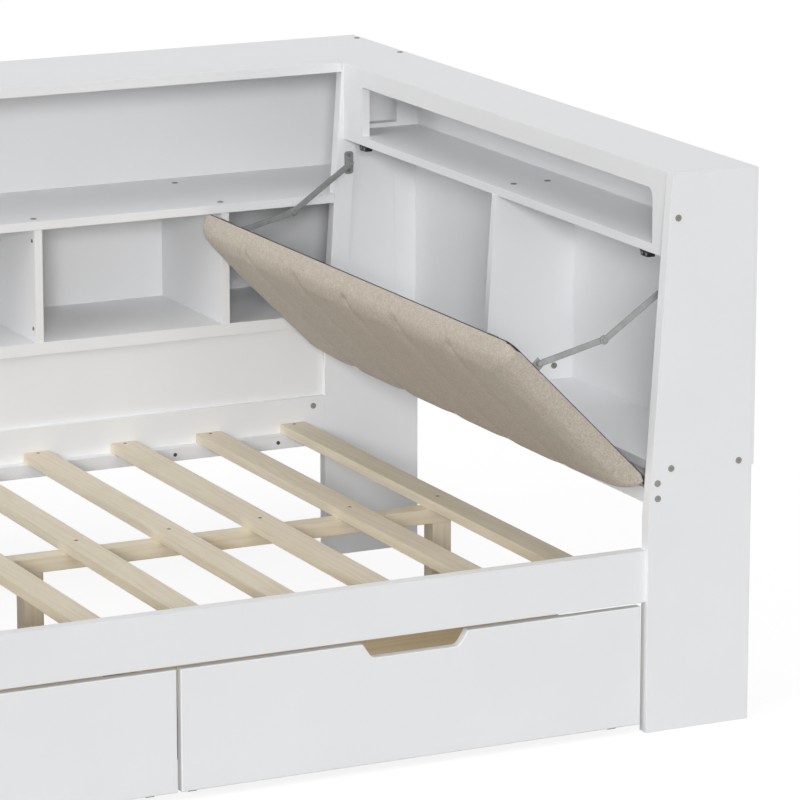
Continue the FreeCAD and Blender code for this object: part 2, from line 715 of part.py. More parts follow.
def wall_bracket(side, wall):
    """Plate on an end panel with the boss and riveted pin that carry a stay."""
    x, z = str(wall.x), str(wall.z)
    boss_length = "(dims.stay_clear - dims.plate_thick - dims.link_gap)"
    pin_length = "(dims.link_thick + 2 * dims.link_gap)"
    head_inset = "dims.stay_clear + dims.link_thick + dims.link_gap"

    def start(inset, thick):
        return f"{Y_FRONT} + {from_side(side, inset, thick)}"

    plate = prism(f"{side}_plate", "XZ_Plane",
                  [("0", "0"), ("dims.plate_width", "0"), ("dims.plate_width", "dims.plate_height"),
                   ("0", "dims.plate_height")], "dims.plate_thick",
                  (f"{x} - dims.plate_width / 2", start("0", "dims.plate_thick"),
                   f"{z} - dims.plate_height / 2"))
    round_edges(plate, f"{side}_plate_round", "dims.plate_round",
                lambda edge: runs_along(edge, Vector(0, 1, 0)))
    boss = rod(f"{side}_boss", "dims.link_width / 2", boss_length,
               (x, start("dims.plate_thick", boss_length), z), "y")
    pin = rod(f"{side}_pin", "dims.rivet_radius", pin_length,
              (x, start("dims.stay_clear - dims.link_gap", pin_length), z), "y")
    head = rod(f"{side}_pin_head", "dims.rivet_head", "dims.rivet_head_thick",
               (x, start(head_inset, "dims.rivet_head_thick"), z), "y")
    return fuse(f"{side}_wall_bracket", [plate, boss, pin, head])


def flap_bracket(side):
    """Angle on the back of the flap with the pin for the lower link."""
    lower_inset = "(dims.stay_clear + dims.link_thick + dims.link_gap)"
    ear_inset = f"({lower_inset} + dims.link_thick + dims.link_gap)"
    pivot = f"({FLAP_BACK} + dims.stay_lift)"
    foot_width = "dims.plate_width"
    half = "dims.plate_width / 2"
    head_inset = f"{lower_inset} - dims.link_gap - dims.rivet_head_thick"
    pin_inset = f"{lower_inset} - dims.link_gap"
    pin_length = "(dims.link_thick + 2 * dims.link_gap)"
    foot = flap_box(f"{side}_foot", (FLAP_BACK, "dims.plate_thick"),
                    (from_side(side, ear_inset, foot_width), foot_width),
                    (f"{STAY_UP} - {half}", "dims.plate_width"))
    ear = flap_box(f"{side}_bracket_ear", (FLAP_BACK, "dims.stay_lift + dims.link_width / 2"),
                   (from_side(side, ear_inset, "dims.plate_thick"), "dims.plate_thick"),
                   (f"{STAY_UP} - {half}", "dims.plate_width"))
    pin = flap_rod(f"{side}_lower_pin", "dims.rivet_radius", pin_length,
                   (pivot, from_side(side, pin_inset, pin_length), STAY_UP))
    head = flap_rod(f"{side}_lower_head", "dims.rivet_head", "dims.rivet_head_thick",
                    (pivot, from_side(side, head_inset, "dims.rivet_head_thick"), STAY_UP))
    return fuse(f"{side}_flap_bracket", [foot, ear, pin, head])


def build_stays():
    """Two folding stays, one at each end of the flap."""
    wall, knuckle, flap, upper, lower = stay_points()
    lower_inset = "(dims.stay_clear + dims.link_thick + dims.link_gap)"
    for side in ("front", "rear"):
        outside = side == "front"
        stay_link(f"{side}_stay_upper", wall, knuckle, side, "dims.stay_clear", outside)
        stay_link(f"{side}_stay_lower", flap, knuckle, side, lower_inset, not outside)
    keep(group("wall_brackets", [wall_bracket(side, wall) for side in ("front", "rear")]),
         "stay_wall_brackets")
    keep(group("flap_brackets", [flap_bracket(side) for side in ("front", "rear")]),
         "stay_flap_brackets")
    print(f"stay wall pivot {wall}, knuckle {knuckle}, flap pivot {flap}, links {upper:.3f} {lower:.3f}")


DRAWER_WIDTH = "((dims.bed_length - 2 * dims.drawer_end_gap - dims.drawer_mid_gap) / 2)"
DRAWER_STARTS = {
    "left": f"({X_BED} + dims.drawer_end_gap)",
    "right": f"({X_UNIT} - dims.drawer_end_gap - {DRAWER_WIDTH})",
}
Z_SIDE = "(2 * dims.wheel_radius + dims.fork_gap + dims.fork_thick)"
Y_BOX = f"({Y_RAIL} + dims.drawer_front_thick)"
DRAWER_DEPTH = f"({beam_middle()} - dims.leg_size / 2 - dims.drawer_back_gap - {Y_BOX})"


def drawer_front(side):
    """Drawer front with a hand notch in its top edge and softened edges."""
    height = "(dims.rail_bottom - dims.drawer_top_gap - dims.drawer_low)"
    middle = f"({DRAWER_WIDTH} / 2)"
    notch_floor = f"{height} - dims.notch_depth"
    front = prism(
        f"{side}_front_board", "XZ_Plane",
        [("0", "0"), (DRAWER_WIDTH, "0"), (DRAWER_WIDTH, height),
         (f"{middle} + dims.notch_top / 2", height), (f"{middle} + dims.notch_bottom / 2", notch_floor),
         (f"{middle} - dims.notch_bottom / 2", notch_floor), (f"{middle} - dims.notch_top / 2", height),
         ("0", height)],
        "dims.drawer_front_thick", (DRAWER_STARTS[side], Y_RAIL, "dims.drawer_low"))
    floor = value(notch_floor)
    half = value("dims.notch_bottom / 2") + 1
    centre = value(middle)

    def is_notch_corner(edge):
        spot = edge.CenterOfMass
        return (runs_along(edge, Vector(0, 1, 0)) and abs(spot.z - floor) < 0.01
                and abs(spot.x - centre) < half)

    round_edges(front, f"{side}_notch_round", "dims.notch_round", is_notch_corner)
    round_edges(front, f"{side}_front_round", "dims.drawer_edge_round",
                lambda edge: abs(edge.CenterOfMass.y) < 0.01)
    keep(front, f"{side}_drawer_front")


def fork(name, centre_x, centre_y):
    """Fork of one drawer wheel, with its axle."""
    inner = "(dims.wheel_width / 2 + dims.wheel_clear)"
    span = f"(2 * {inner} + 2 * dims.fork_thick)"
    plate_low = f"({Z_SIDE} - dims.fork_thick)"
    cheek_low = "(dims.wheel_radius - dims.fork_cheek / 2)"
    deep = (f"{centre_y} - dims.fork_cheek / 2", "dims.fork_cheek")
    tall = (cheek_low, f"{plate_low} - {cheek_low}")
    plate = board(f"{name}_plate", (f"{centre_x} - {span} / 2", span),
                  (f"{centre_y} - dims.fork_length / 2", "dims.fork_length"), (plate_low, "dims.fork_thick"))
    near = board(f"{name}_near", (f"{centre_x} - {span} / 2", "dims.fork_thick"), deep, tall)
    far = board(f"{name}_far", (f"{centre_x} + {inner}", "dims.fork_thick"), deep, tall)
    axle = rod(f"{name}_axle", "dims.axle_radius", span,
               (f"{centre_x} - {span} / 2", centre_y, "dims.wheel_radius"), "x")
    return fuse(f"{name}_fork", [plate, near, far, axle])


def wheel(name, centre_x, centre_y):
    """Solid drawer wheel, bored for its axle."""
    start = (f"{centre_x} - dims.wheel_width / 2", centre_y, "dims.wheel_radius")
    tyre = rod(f"{name}_tyre", "dims.wheel_radius", "dims.wheel_width", start, "x")
    bore = rod(f"{name}_bore", "dims.axle_radius + dims.pivot_clear", "dims.wheel_width", start, "x")
    keep(cut(f"{name}_cut", tyre, bore), name)


def build_drawer(side):
    """One drawer: front, sides, back, floor, forks and wheels."""
    drawer_front(side)
    start = DRAWER_STARTS[side]
    deep = (Y_BOX, DRAWER_DEPTH)
    tall = (Z_SIDE, "dims.drawer_side_height")
    near = f"({start} + dims.drawer_side_inset)"
    far = f"({start} + {DRAWER_WIDTH} - dims.drawer_side_inset - dims.drawer_side_thick)"
    inside = (f"{near} + dims.drawer_side_thick", f"{far} - {near} - dims.drawer_side_thick")
    thick = "dims.drawer_side_thick"
    sides = [board(f"{side}_side_{index}", (place, thick), deep, tall)
             for index, place in enumerate((near, far), start=1)]
    keep(group(f"{side}_sides", sides), f"{side}_drawer_sides")
    keep(board(f"{side}_back_board", inside, (f"{Y_BOX} + {DRAWER_DEPTH} - {thick}", thick), tall),
         f"{side}_drawer_back")
    keep(board(f"{side}_floor_board", inside, (Y_BOX, f"{DRAWER_DEPTH} - {thick}"),
               (f"{Z_SIDE} + dims.drawer_floor_rise", "dims.drawer_floor_thick")), f"{side}_drawer_floor")

    forks = []
    places = {"front": f"({Y_BOX} + dims.fork_front)",
              "rear": f"({Y_BOX} + {DRAWER_DEPTH} - dims.fork_rear)"}
    for row, centre_y in places.items():
        for index, place in enumerate((near, far), start=1):
            centre_x = f"({place} + {thick} / 2)"
            forks.append(fork(f"{side}_{row}_{index}", centre_x, centre_y))
            wheel(f"{side}_drawer_wheel_{row}_{index}", centre_x, centre_y)
    keep(group(f"{side}_forks", forks), f"{side}_drawer_forks")


def screw_head(radius):
    """Low round head with a six-sided socket, standing on its own base."""
    height = value("dims.screw_height")
    socket = value("dims.screw_socket")
    corners = [Vector(socket * math.cos(math.radians(60 * step)), socket * math.sin(math.radians(60 * step)),
                      height / 2) for step in range(7)]
    hexagon = Part.Face(Part.makePolygon(corners))
    return Part.makeCylinder(radius, height).cut(hexagon.extrude(Vector(0, 0, height)))


def place_heads(name, spots):
    """One node of screw heads, from their spots, outward directions and radii."""
    heads = []
    for place, outward, radius in spots:
        head = screw_head(value(radius))
        head.Placement = Placement(place, Rotation(Vector(0, 0, 1), outward))
        heads.append(head)
    screws = doc.addObject("Part::Feature", name + "_set")
    screws.Shape = Part.makeCompound(heads)
    keep(screws, name)


def spot(x, y, z):
    """Point from three expressions."""
    return Vector(value(x), value(y), value(z))


def bookcase_screws():
    """Spots, outward directions and radii of the screw heads on both bookcases."""
    up, front, left = Vector(0, 0, 1), Vector(0, -1, 0), Vector(-1, 0, 0)
    inset, big, small = "dims.screw_inset", "dims.screw_radius", "dims.small_screw_radius"
    half_board = "dims.board_thick / 2"
    spots = []
    frame_middle = f"{X_UNIT} + dims.frame_inset + dims.frame_thick / 2"
    bottom_middle = f"dims.right_bottom_low + {half_board}"
    spots.append((spot(frame_middle, Y_FRONT, f"({Z_SHELF} + {Z_TOP}) / 2"), front, big))
    for place in (f"{X_UNIT} + {stop_at(Z_BOTTOM)} + {inset}", f"{X_SKIN} - {inset}"):
        spots.append((spot(place, Y_FRONT, bottom_middle), front, big))
    apron_middle = f"{Z_AXIS} - dims.apron_clear - dims.apron_height / 2"
    spots.append((spot(f"{X_UNIT} + dims.apron_inset + {half_board}", Y_FRONT, apron_middle), front, big))

    divider_y = f"{Y_INNER} + dims.right_divider_at"
    for place in (f"{X_UNIT} + dims.frame_inset + dims.shelf_screw_inset", f"{X_SKIN} - dims.rear_screw_inset"):
        spots.append((spot(place, f"{divider_y} + {half_board}", Z_SHELF), up, big))
    bay_height = f"{Z_BOTTOM} + dims.bay_screw_rise"
    spots.append((spot(f"{X_UNIT} + dims.bay_screw_x", divider_y, bay_height), front, big))

    shelf_top = f"{Z_BACK_SHELF} + dims.board_thick"
    divider_low = "dims.back_bottom_low + dims.back_bottom_thick + dims.divider_screw_low"
    divider_high = f"{Z_BACK_SHELF} - dims.divider_screw_high"
    count = int(value("dims.bed_length") // value("dims.divider_pitch"))
    for index in range(1, count + 1):
        middle = f"{X_BED} + {index} * dims.divider_pitch"
        for place in (f"{Y_BACK} + {inset}", f"{Y_SKIN} - dims.rear_screw_inset"):
            spots.append((spot(middle, place, shelf_top), up, big))
        if index == count:
            continue
        for height in (divider_low, divider_high):
            face = spot(f"{middle} - dims.divider_thick / 2",
                        f"{Y_BACK} + dims.divider_inset + dims.divider_screw_inset", height)
            spots.append((face, left, small))
    for middle in (f"{X_SKIN} - {half_board}", f"{X_LEFT} + dims.end_thick / 2"):
        for place in (f"{Y_CORNER} + dims.top_screw_inset", f"{Y_SKIN} - dims.top_screw_inset"):
            spots.append((spot(middle, place, "dims.unit_height"), up, big))
    for middle in (f"{X_BED} + {inset}", f"{X_UNIT} - {inset}"):
        spots.append((spot(middle, Y_BACK, f"{Z_RAIL} - dims.rail_screw_drop"), front, big))

    wall = stay_points()[0]
    for plane, outward in ((f"{Y_INNER} + dims.plate_thick", Vector(0, 1, 0)),
                           (f"{Y_BACK} - dims.plate_thick", front)):
        for side in ("-", "+"):
            height = f"{wall.z} {side} dims.plate_screw_pitch / 2"
            spots.append((spot(str(wall.x), plane, height), outward, small))
    return spots


def base_screws():
    """Spots, outward directions and radii of the screw heads on the slats and ledgers."""
    up, front, back = Vector(0, 0, 1), Vector(0, -1, 0), Vector(0, 1, 0)
    small = "dims.small_screw_radius"
    count = int(value("dims.slat_count"))
    spots = []
    for index in range(count):
        middle = f"{slat_start(index)} + dims.slat_width / 2"
        for line in slat_screw_lines():
            spots.append((spot(middle, line, Z_POCKET), up, small))
    ledger_middle = "dims.rail_bottom + dims.ledger_height / 2"
    screw_run = value("dims.bed_length - 2 * dims.ledger_screw_end")
    for index in range(int(screw_run // value("dims.ledger_screw_pitch")) + 1):
        place = f"{X_UNIT} - dims.ledger_screw_end - {index} * dims.ledger_screw_pitch"
        spots.append((spot(place, f"{Y_BACK} - dims.ledger_depth", ledger_middle), front, small))
        spots.append((spot(place, f"{Y_BED} + dims.ledger_depth", ledger_middle), back, small))
    return spots


def build_screws():
    """Visible screw heads of the bookcases, the stays' plates, the slats and the ledgers."""
    place_heads("frame_screws", bookcase_screws())
    place_heads("base_screws", base_screws())


def check_and_write():
    """Stop on any failed object or shape, then write each sub-part."""
    doc.recompute()
    for part in doc.Objects:
        if {"Invalid", "Error"} & set(part.State):
            raise RuntimeError(f"{part.Label} did not compute: {part.State}")
    labels = [part.Label for part in nodes]
    if len(set(labels)) != len(labels):
        raise RuntimeError("two sub-parts share a label")
    os.makedirs("parts", exist_ok=True)
    for part in nodes:
        shape = part.Shape
        if shape.isNull() or not shape.isValid() or not shape.Solids or shape.Volume <= 0:
            raise RuntimeError(f"{part.Label} has no sound solid")
    for part in nodes:
        part.Shape.exportStep(f"parts/{part.Label}.step")
    whole = Part.makeCompound([part.Shape for part in nodes])
    box = whole.BoundBox
    print(f"{len(nodes)} sub-parts, {box.XLength:.1f} x {box.YLength:.1f} x {box.ZLength:.1f} mm")


build_end_panels()
build_end_bookcase()
build_back_bookcase()
build_bed_base()
build_flap()
build_stays()
for drawer_side in DRAWER_STARTS:
    build_drawer(drawer_side)
build_screws()
check_and_write()
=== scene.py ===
"""Dress the corner bed: its finishes, the padded flap and the catches, in a plain studio."""
import json
import logging
import math
from dataclasses import dataclass
from enum import Enum

import bmesh
import bpy
import numpy as np
from mathutils import Matrix, Vector


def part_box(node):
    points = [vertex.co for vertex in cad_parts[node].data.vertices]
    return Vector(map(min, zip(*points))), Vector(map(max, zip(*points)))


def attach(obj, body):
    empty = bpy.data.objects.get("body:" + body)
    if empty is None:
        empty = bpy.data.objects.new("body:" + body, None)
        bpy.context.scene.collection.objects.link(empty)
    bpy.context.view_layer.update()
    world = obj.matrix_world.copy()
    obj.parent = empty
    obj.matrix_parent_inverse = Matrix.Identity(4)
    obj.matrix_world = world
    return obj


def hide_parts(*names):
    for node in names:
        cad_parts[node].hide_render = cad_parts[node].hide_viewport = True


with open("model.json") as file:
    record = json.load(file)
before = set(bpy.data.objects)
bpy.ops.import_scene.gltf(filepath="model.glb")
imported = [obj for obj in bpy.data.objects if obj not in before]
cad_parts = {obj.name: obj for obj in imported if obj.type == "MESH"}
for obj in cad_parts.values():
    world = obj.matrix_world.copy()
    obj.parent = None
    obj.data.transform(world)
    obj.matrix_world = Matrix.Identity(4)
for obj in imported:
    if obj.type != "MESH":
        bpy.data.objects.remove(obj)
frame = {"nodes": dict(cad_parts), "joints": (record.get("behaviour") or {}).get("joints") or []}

LOG = logging.getLogger("corner_bed")
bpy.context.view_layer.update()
MM = 0.001

Colour = tuple[float, float, float]
Span = tuple[float, float]
Socket = bpy.types.NodeSocket
Sockets = bpy.types.bpy_prop_collection
Material = bpy.types.Material


class GrainAxis(Enum):
    """Which way the fibres of a board run."""

    X = 0
    Y = 1
    Z = 2


def toned(colour: Colour, factor: float) -> Colour:
    """Colour made darker or lighter by a factor, up to white."""
    return tuple(min(1.0, factor * part) for part in colour)


class NodeSheet:
    """Short calls for laying out one shader node tree."""

    mix_inputs = (0, 6, 7)
    mix_output = 2

    def __init__(self, tree: bpy.types.NodeTree) -> None:
        """Keep the tree that nodes are added to."""
        self.tree = tree

    def add(self, kind: str, **settings: object) -> bpy.types.Node:
        """Add a node and set its properties.

        Args:
            kind: Blender's name of the node type, without its ShaderNode prefix.
            settings: Properties of the node, by name.

        Returns:
            The new node.
        """
        node = self.tree.nodes.new("ShaderNode" + kind)
        for name, value in settings.items():
            setattr(node, name, value)
        return node

    def feed(self, socket: Socket, source: object) -> None:
        """Give an input socket a link or a plain value.

        Args:
            socket: The input.
            source: Link or value for it.
        """
        if isinstance(source, bpy.types.NodeSocket):
            self.tree.links.new(source, socket)
        else:
            socket.default_value = source

    def wire(self, node: bpy.types.Node, **inputs: object) -> None:
        """Give a node's inputs links or plain values, named with spaces as underscores."""
        for name, given in inputs.items():
            self.feed(node.inputs[name.replace("_", " ")], given)

    def math(self, operation: str, *values: object) -> Socket:
        """Add a Math node.

        Args:
            operation: What the node does, in Blender's word.
            values: Links or numbers for its inputs, in order.

        Returns:
            The node's result.
        """
        node = self.add("Math", operation=operation)
        for socket, value in zip(node.inputs, values):
            self.feed(socket, value)
        return node.outputs[0]

    def vector(self, operation: str, *values: object) -> Socket:
        """Add a Vector Math node.

        Args:
            operation: What the node does, in Blender's word.
            values: Links or vectors for its inputs, in order.

        Returns:
            The number of a dot product, and otherwise the vector.
        """
        node = self.add("VectorMath", operation=operation)
        for socket, value in zip(node.inputs, values):
            self.feed(socket, value)
        return node.outputs["Value"] if operation == "DOT_PRODUCT" else node.outputs["Vector"]

    def weigh(self, *terms: tuple[Socket, float]) -> Socket:
        """Add up values, each times its weight.

        Args:
            terms: Pairs of a value and its weight.

        Returns:
            The sum.
        """
        total, *others = (self.math("MULTIPLY", value, weight) for value, weight in terms)
        for other in others:
            total = self.math("ADD", total, other)
        return total

    def remap(self, value: object, span: Span, to_span: tuple[object, object] = (0.0, 1.0)) -> Socket:
        """Move a value from one range to another and keep it inside.

        Args:
            value: What is moved.
            span: Ends of the range that it comes from.
            to_span: Ends of the range that it goes to.

        Returns:
            The moved value.
        """
        node = self.add("MapRange")
        self.wire(node, Value=value, From_Min=span[0], From_Max=span[1], To_Min=to_span[0], To_Max=to_span[1])
        return node.outputs["Result"]

    def swing(self, value: Socket, middle: float, reach: Span) -> Socket:
        """Value from 0 to 1 made to swing below and above a middle."""
        return self.remap(value, (0.0, 1.0), tuple(middle + part for part in reach))

    def noise(self, vector: object, scale: object, detail: float = 2.0) -> Socket:
        """Add smooth noise.

        Args:
            vector: Where the noise is read.
            scale: How many spots come in a unit of length.
            detail: How many finer layers are added.

        Returns:
            The noise, from 0 to 1.
        """
        node = self.add("TexNoise")
        self.wire(node, Vector=vector, Scale=scale, Detail=detail)
        return node.outputs[0]

    def parts(self, vector: Socket) -> Sockets:
        """Take a vector apart.

        Args:
            vector: The vector.

        Returns:
            Its coordinates, by the names X, Y and Z.
        """
        node = self.add("SeparateXYZ")
        self.feed(node.inputs[0], vector)
        return node.outputs

    def joined(self, **coordinates: object) -> Socket:
        """Put a vector together.

        Args:
            coordinates: Links or numbers, by the names X, Y and Z.

        Returns:
            The vector.
        """
        node = self.add("CombineXYZ")
        self.wire(node, **coordinates)
        return node.outputs[0]

    def blend(self, factor: object, first: object, second: object) -> Socket:
        """Blend two colours.

        Args:
            factor: 0 for the first colour and 1 for the second.
            first: First colour.
            second: Second colour.

        Returns:
            The blend.
        """
        node = self.add("Mix", data_type="RGBA")
        for index, given in zip(self.mix_inputs, (factor, first, second)):
            self.feed(node.inputs[index], (*given, 1.0) if isinstance(given, tuple) else given)
        return node.outputs[self.mix_output]

    def bump(self, height: Socket, distance: float, strength: float, normal: Socket | None = None) -> Socket:
        """Turn a height into a normal, on top of another normal where one is given.

        Args:
            height: Height over the surface, from 0 to 1.
            distance: How high a height of 1 stands.
            strength: How much of it shows.
            normal: Normal that it is added to.

        Returns:
            The new normal.
        """
        node = self.add("Bump")
        self.wire(node, Strength=strength, Distance=distance, Height=height)
        if normal is not None:
            self.feed(node.inputs["Normal"], normal)
        return node.outputs["Normal"]

    def group(self, tree: bpy.types.NodeTree, **inputs: object) -> Sockets:
        """Place a shared effect and wire its inputs.

        Args:
            tree: The effect's node group.
            inputs: Values or links for the group's inputs.

        Returns:
            The outputs of the group.
        """
        node = self.add("Group", node_tree=tree)
        self.wire(node, **inputs)
        return node.outputs


class SharedEffects:
    """Node groups that more than one finish uses, each built once."""

    edge_band: Span = (0.99, 0.86)
    edge_samples: int = 6
    noise_band: Span = (0.3, 0.7)
    sway_stretch: Colour = (0.9, 9.0, 9.0)
    sway_scale: float = 1.6
    sway_reach: float = 0.11
    layer_slope: float = 0.83
    band_range: Span = (-0.6, 1.0)
    fibre_stretch: Colour = (6.0, 260.0, 260.0)
    pore_stretch: Colour = (14.0, 520.0, 520.0)
    pore_band: Span = (0.62, 0.72)
    crossing: Span = (-0.15, 0.15)
    slub_scales: Span = (90.0, 420.0)
    slub_band: Span = (0.45, 0.72)

    def __init__(self) -> None:
        """Start with no group built."""
        self.built: dict[str, bpy.types.NodeTree] = {}

    def _start(self, name: str, inputs: dict[str, str],
               outputs: dict[str, str]) -> tuple[NodeSheet, dict[str, Socket], dict[str, Socket]]:
        """Make an empty group with its sockets.

        Args:
            name: Name of the group.
            inputs: Socket kinds by input name.
            outputs: Socket kinds by output name.

        Returns:
            The sheet to draw on, the input links and the output sockets, both by name.
        """
        tree = bpy.data.node_groups.new(name, "ShaderNodeTree")
        for side, sockets in (("INPUT", inputs), ("OUTPUT", outputs)):
            for label, kind in sockets.items():
                tree.interface.new_socket(name=label, in_out=side, socket_type="NodeSocket" + kind)
        start = tree.nodes.new("NodeGroupInput")
        end = tree.nodes.new("NodeGroupOutput")
        self.built[name] = tree
        given = {label: start.outputs[label] for label in inputs}
        wanted = {label: end.inputs[label] for label in outputs}
        return NodeSheet(tree), given, wanted

    def soft_arris(self) -> bpy.types.NodeTree:
        """Slightly rounded board edges: a normal, and a mask that is 1 on the edge itself.

        Returns:
            The effect's node group.
        """
        if "soft_arris" not in self.built:
            sheet, given, out = self._start("soft_arris", {"Radius": "Float"},
                                            {"Normal": "Vector", "Edge": "Float"})
            bevel = sheet.add("Bevel", samples=self.edge_samples)
            sheet.feed(bevel.inputs["Radius"], given["Radius"])
            flat = sheet.add("NewGeometry").outputs["True Normal"]
            agreement = sheet.vector("DOT_PRODUCT", bevel.outputs["Normal"], flat)
            sheet.feed(out["Normal"], bevel.outputs["Normal"])
            sheet.feed(out["Edge"], sheet.remap(agreement, self.edge_band))
        return self.built["soft_arris"]

    def surface_mottle(self) -> bpy.types.NodeTree:
        """Cloudy unevenness and fine speckle of a sprayed, plated or moulded surface.

        Returns:
            The effect's node group.
        """
        if "surface_mottle" not in self.built:
            sheet, given, out = self._start(
                "surface_mottle", {"Vector": "Vector", "Cloud Size": "Float", "Speck Size": "Float"},
                {"Cloud": "Float", "Speck": "Float"})
            for name, detail in (("Cloud", 3.0), ("Speck", 2.0)):
                scale = sheet.math("DIVIDE", 1.0, given[f"{name} Size"])
                spots = sheet.noise(given["Vector"], scale, detail)
                sheet.feed(out[name], sheet.remap(spots, self.noise_band))
        return self.built["surface_mottle"]

    def timber_grain(self) -> bpy.types.NodeTree:
        """Growth bands, fibres and long pores; the fibres run along the vector's X.

        Returns:
            The effect's node group.
        """
        if "timber_grain" not in self.built:
            sheet, given, out = self._start("timber_grain", {"Vector": "Vector", "Band Width": "Float"},
                                            {"Band": "Float", "Fibre": "Float", "Pore": "Float"})
            sway = sheet.noise(sheet.vector("MULTIPLY", given["Vector"], self.sway_stretch), self.sway_scale)
            place = sheet.parts(given["Vector"])
            across = sheet.math("ADD", place["Y"], sheet.math("MULTIPLY", place["Z"], self.layer_slope))
            shifted = sheet.math("ADD", across, sheet.math("MULTIPLY", sway, self.sway_reach))
            phase = sheet.math("DIVIDE", shifted, given["Band Width"])
            wave = sheet.math("SINE", sheet.math("MULTIPLY", phase, math.tau))
            sheet.feed(out["Band"], sheet.remap(wave, self.band_range))
            fibres = sheet.vector("MULTIPLY", given["Vector"], self.fibre_stretch)
            sheet.feed(out["Fibre"], sheet.remap(sheet.noise(fibres, 1.0, 3.0), self.noise_band))
            pores = sheet.vector("MULTIPLY", given["Vector"], self.pore_stretch)
            sheet.feed(out["Pore"], sheet.remap(sheet.noise(pores, 1.0, 1.0), self.pore_band))
        return self.built["timber_grain"]

    def plain_weave(self) -> bpy.types.NodeTree:
        """Threads over and under each other, with thicker slubs here and there.

        Returns:
            The effect's node group.
        """
        if "plain_weave" not in self.built:
            sheet, given, out = self._start(
                "plain_weave", {"Along": "Float", "Across": "Float", "Pitch": "Float"},
                {"Height": "Float", "Slub": "Float", "Over": "Float"})
            counts = (sheet.math("DIVIDE", given[way], given["Pitch"]) for way in ("Along", "Across"))
            warp, weft = (sheet.math("SINE", sheet.math("MULTIPLY", count, math.pi)) for count in counts)
            over = sheet.remap(sheet.math("MULTIPLY", warp, weft), self.crossing)
            under = sheet.math("SUBTRACT", 1.0, over)
            height = sheet.math("ADD", sheet.math("MULTIPLY", sheet.math("ABSOLUTE", warp), over),
                                sheet.math("MULTIPLY", sheet.math("ABSOLUTE", weft), under))
            slubs = []
            for along, across in (self.slub_scales, self.slub_scales[::-1]):
                stretched = sheet.joined(X=sheet.math("MULTIPLY", given["Along"], along),
                                         Y=sheet.math("MULTIPLY", given["Across"], across))
                slubs.append(sheet.noise(stretched, 1.0))
            sheet.feed(out["Height"], height)
            sheet.feed(out["Over"], over)
            sheet.feed(out["Slub"], sheet.remap(sheet.math("MAXIMUM", *slubs), self.slub_band))
        return self.built["plain_weave"]


EFFECTS = SharedEffects()


def new_material(name: str) -> tuple[NodeSheet, bpy.types.Node, Material]:
    """Start a material.

    Args:
        name: Name of the finish.

    Returns:
        Its node sheet, its Principled shader and the material itself.
    """
    material = bpy.data.materials.new(name)
    material.use_nodes = True
    sheet = NodeSheet(material.node_tree)
    shader = next(node for node in material.node_tree.nodes if node.type == "BSDF_PRINCIPLED")
    return sheet, shader, material


def body_vector(sheet: NodeSheet) -> Socket:
    """Coordinates that stay with the piece when its body moves."""
    return sheet.add("TexCoord").outputs["Object"]


def along_fibres(sheet: NodeSheet, vector: Socket, axis: GrainAxis) -> Socket:
    """Turn a vector so that its X runs along the fibres of a board.

    Args:
        sheet: Node sheet of the material.
        vector: Coordinates of the piece.
        axis: Which way the fibres run.

    Returns:
        The turned vector.
    """
    if axis is GrainAxis.X:
        return vector
    place = sheet.parts(vector)
    others = [name for name in "XYZ" if name != axis.name]
    return sheet.joined(X=place[axis.name], Y=place[others[0]], Z=place[others[1]])


@dataclass(frozen=True)
class Lacquer:
    """Satin lacquer sprayed on board, with the timber under it showing as a faint ripple."""

    name: str
    colour: Colour = (0.868, 0.874, 0.886)
    cloud_tone: float = 0.975
    # Brightens the colour along the board's edges: a painted highlight.
    painted_edge_tone: float = 1.03
    cloud_size: float = 220 * MM
    speck_size: float = 2.2 * MM
    speck_height: float = 0.05 * MM
    speck_strength: float = 0.35
    grain_width: float = 28 * MM
    grain_height: float = 0.12 * MM
    ripple: float = 0.10
    roughness: float = 0.55
    rough_reach: Span = (-0.05, 0.06)
    gloss: float = 0.30
    arris: float = 1.2 * MM
    axis: GrainAxis = GrainAxis.X

    def material(self) -> Material:
        """Build the finish.

        Returns:
            Its material.
        """
        sheet, shader, material = new_material(self.name)
        vector = body_vector(sheet)
        edge = sheet.group(EFFECTS.soft_arris(), Radius=self.arris)
        mottle = sheet.group(EFFECTS.surface_mottle(), Vector=vector, Cloud_Size=self.cloud_size,
                             Speck_Size=self.speck_size)
        grain = sheet.group(EFFECTS.timber_grain(), Vector=along_fibres(sheet, vector, self.axis),
                            Band_Width=self.grain_width)
        clouded = sheet.blend(mottle["Cloud"], toned(self.colour, self.cloud_tone), self.colour)
        skin = sheet.bump(mottle["Speck"], self.speck_height, self.speck_strength, edge["Normal"])
        # The edge mask blends towards a brighter colour: a painted highlight along the edges.
        sheet.wire(shader, Base_Color=sheet.blend(edge["Edge"], clouded, toned(self.colour, self.painted_edge_tone)),
                   Roughness=sheet.swing(mottle["Cloud"], self.roughness, self.rough_reach),
                   Normal=sheet.bump(grain["Fibre"], self.grain_height, self.ripple, skin),
                   Specular_IOR_Level=self.gloss)
        return material


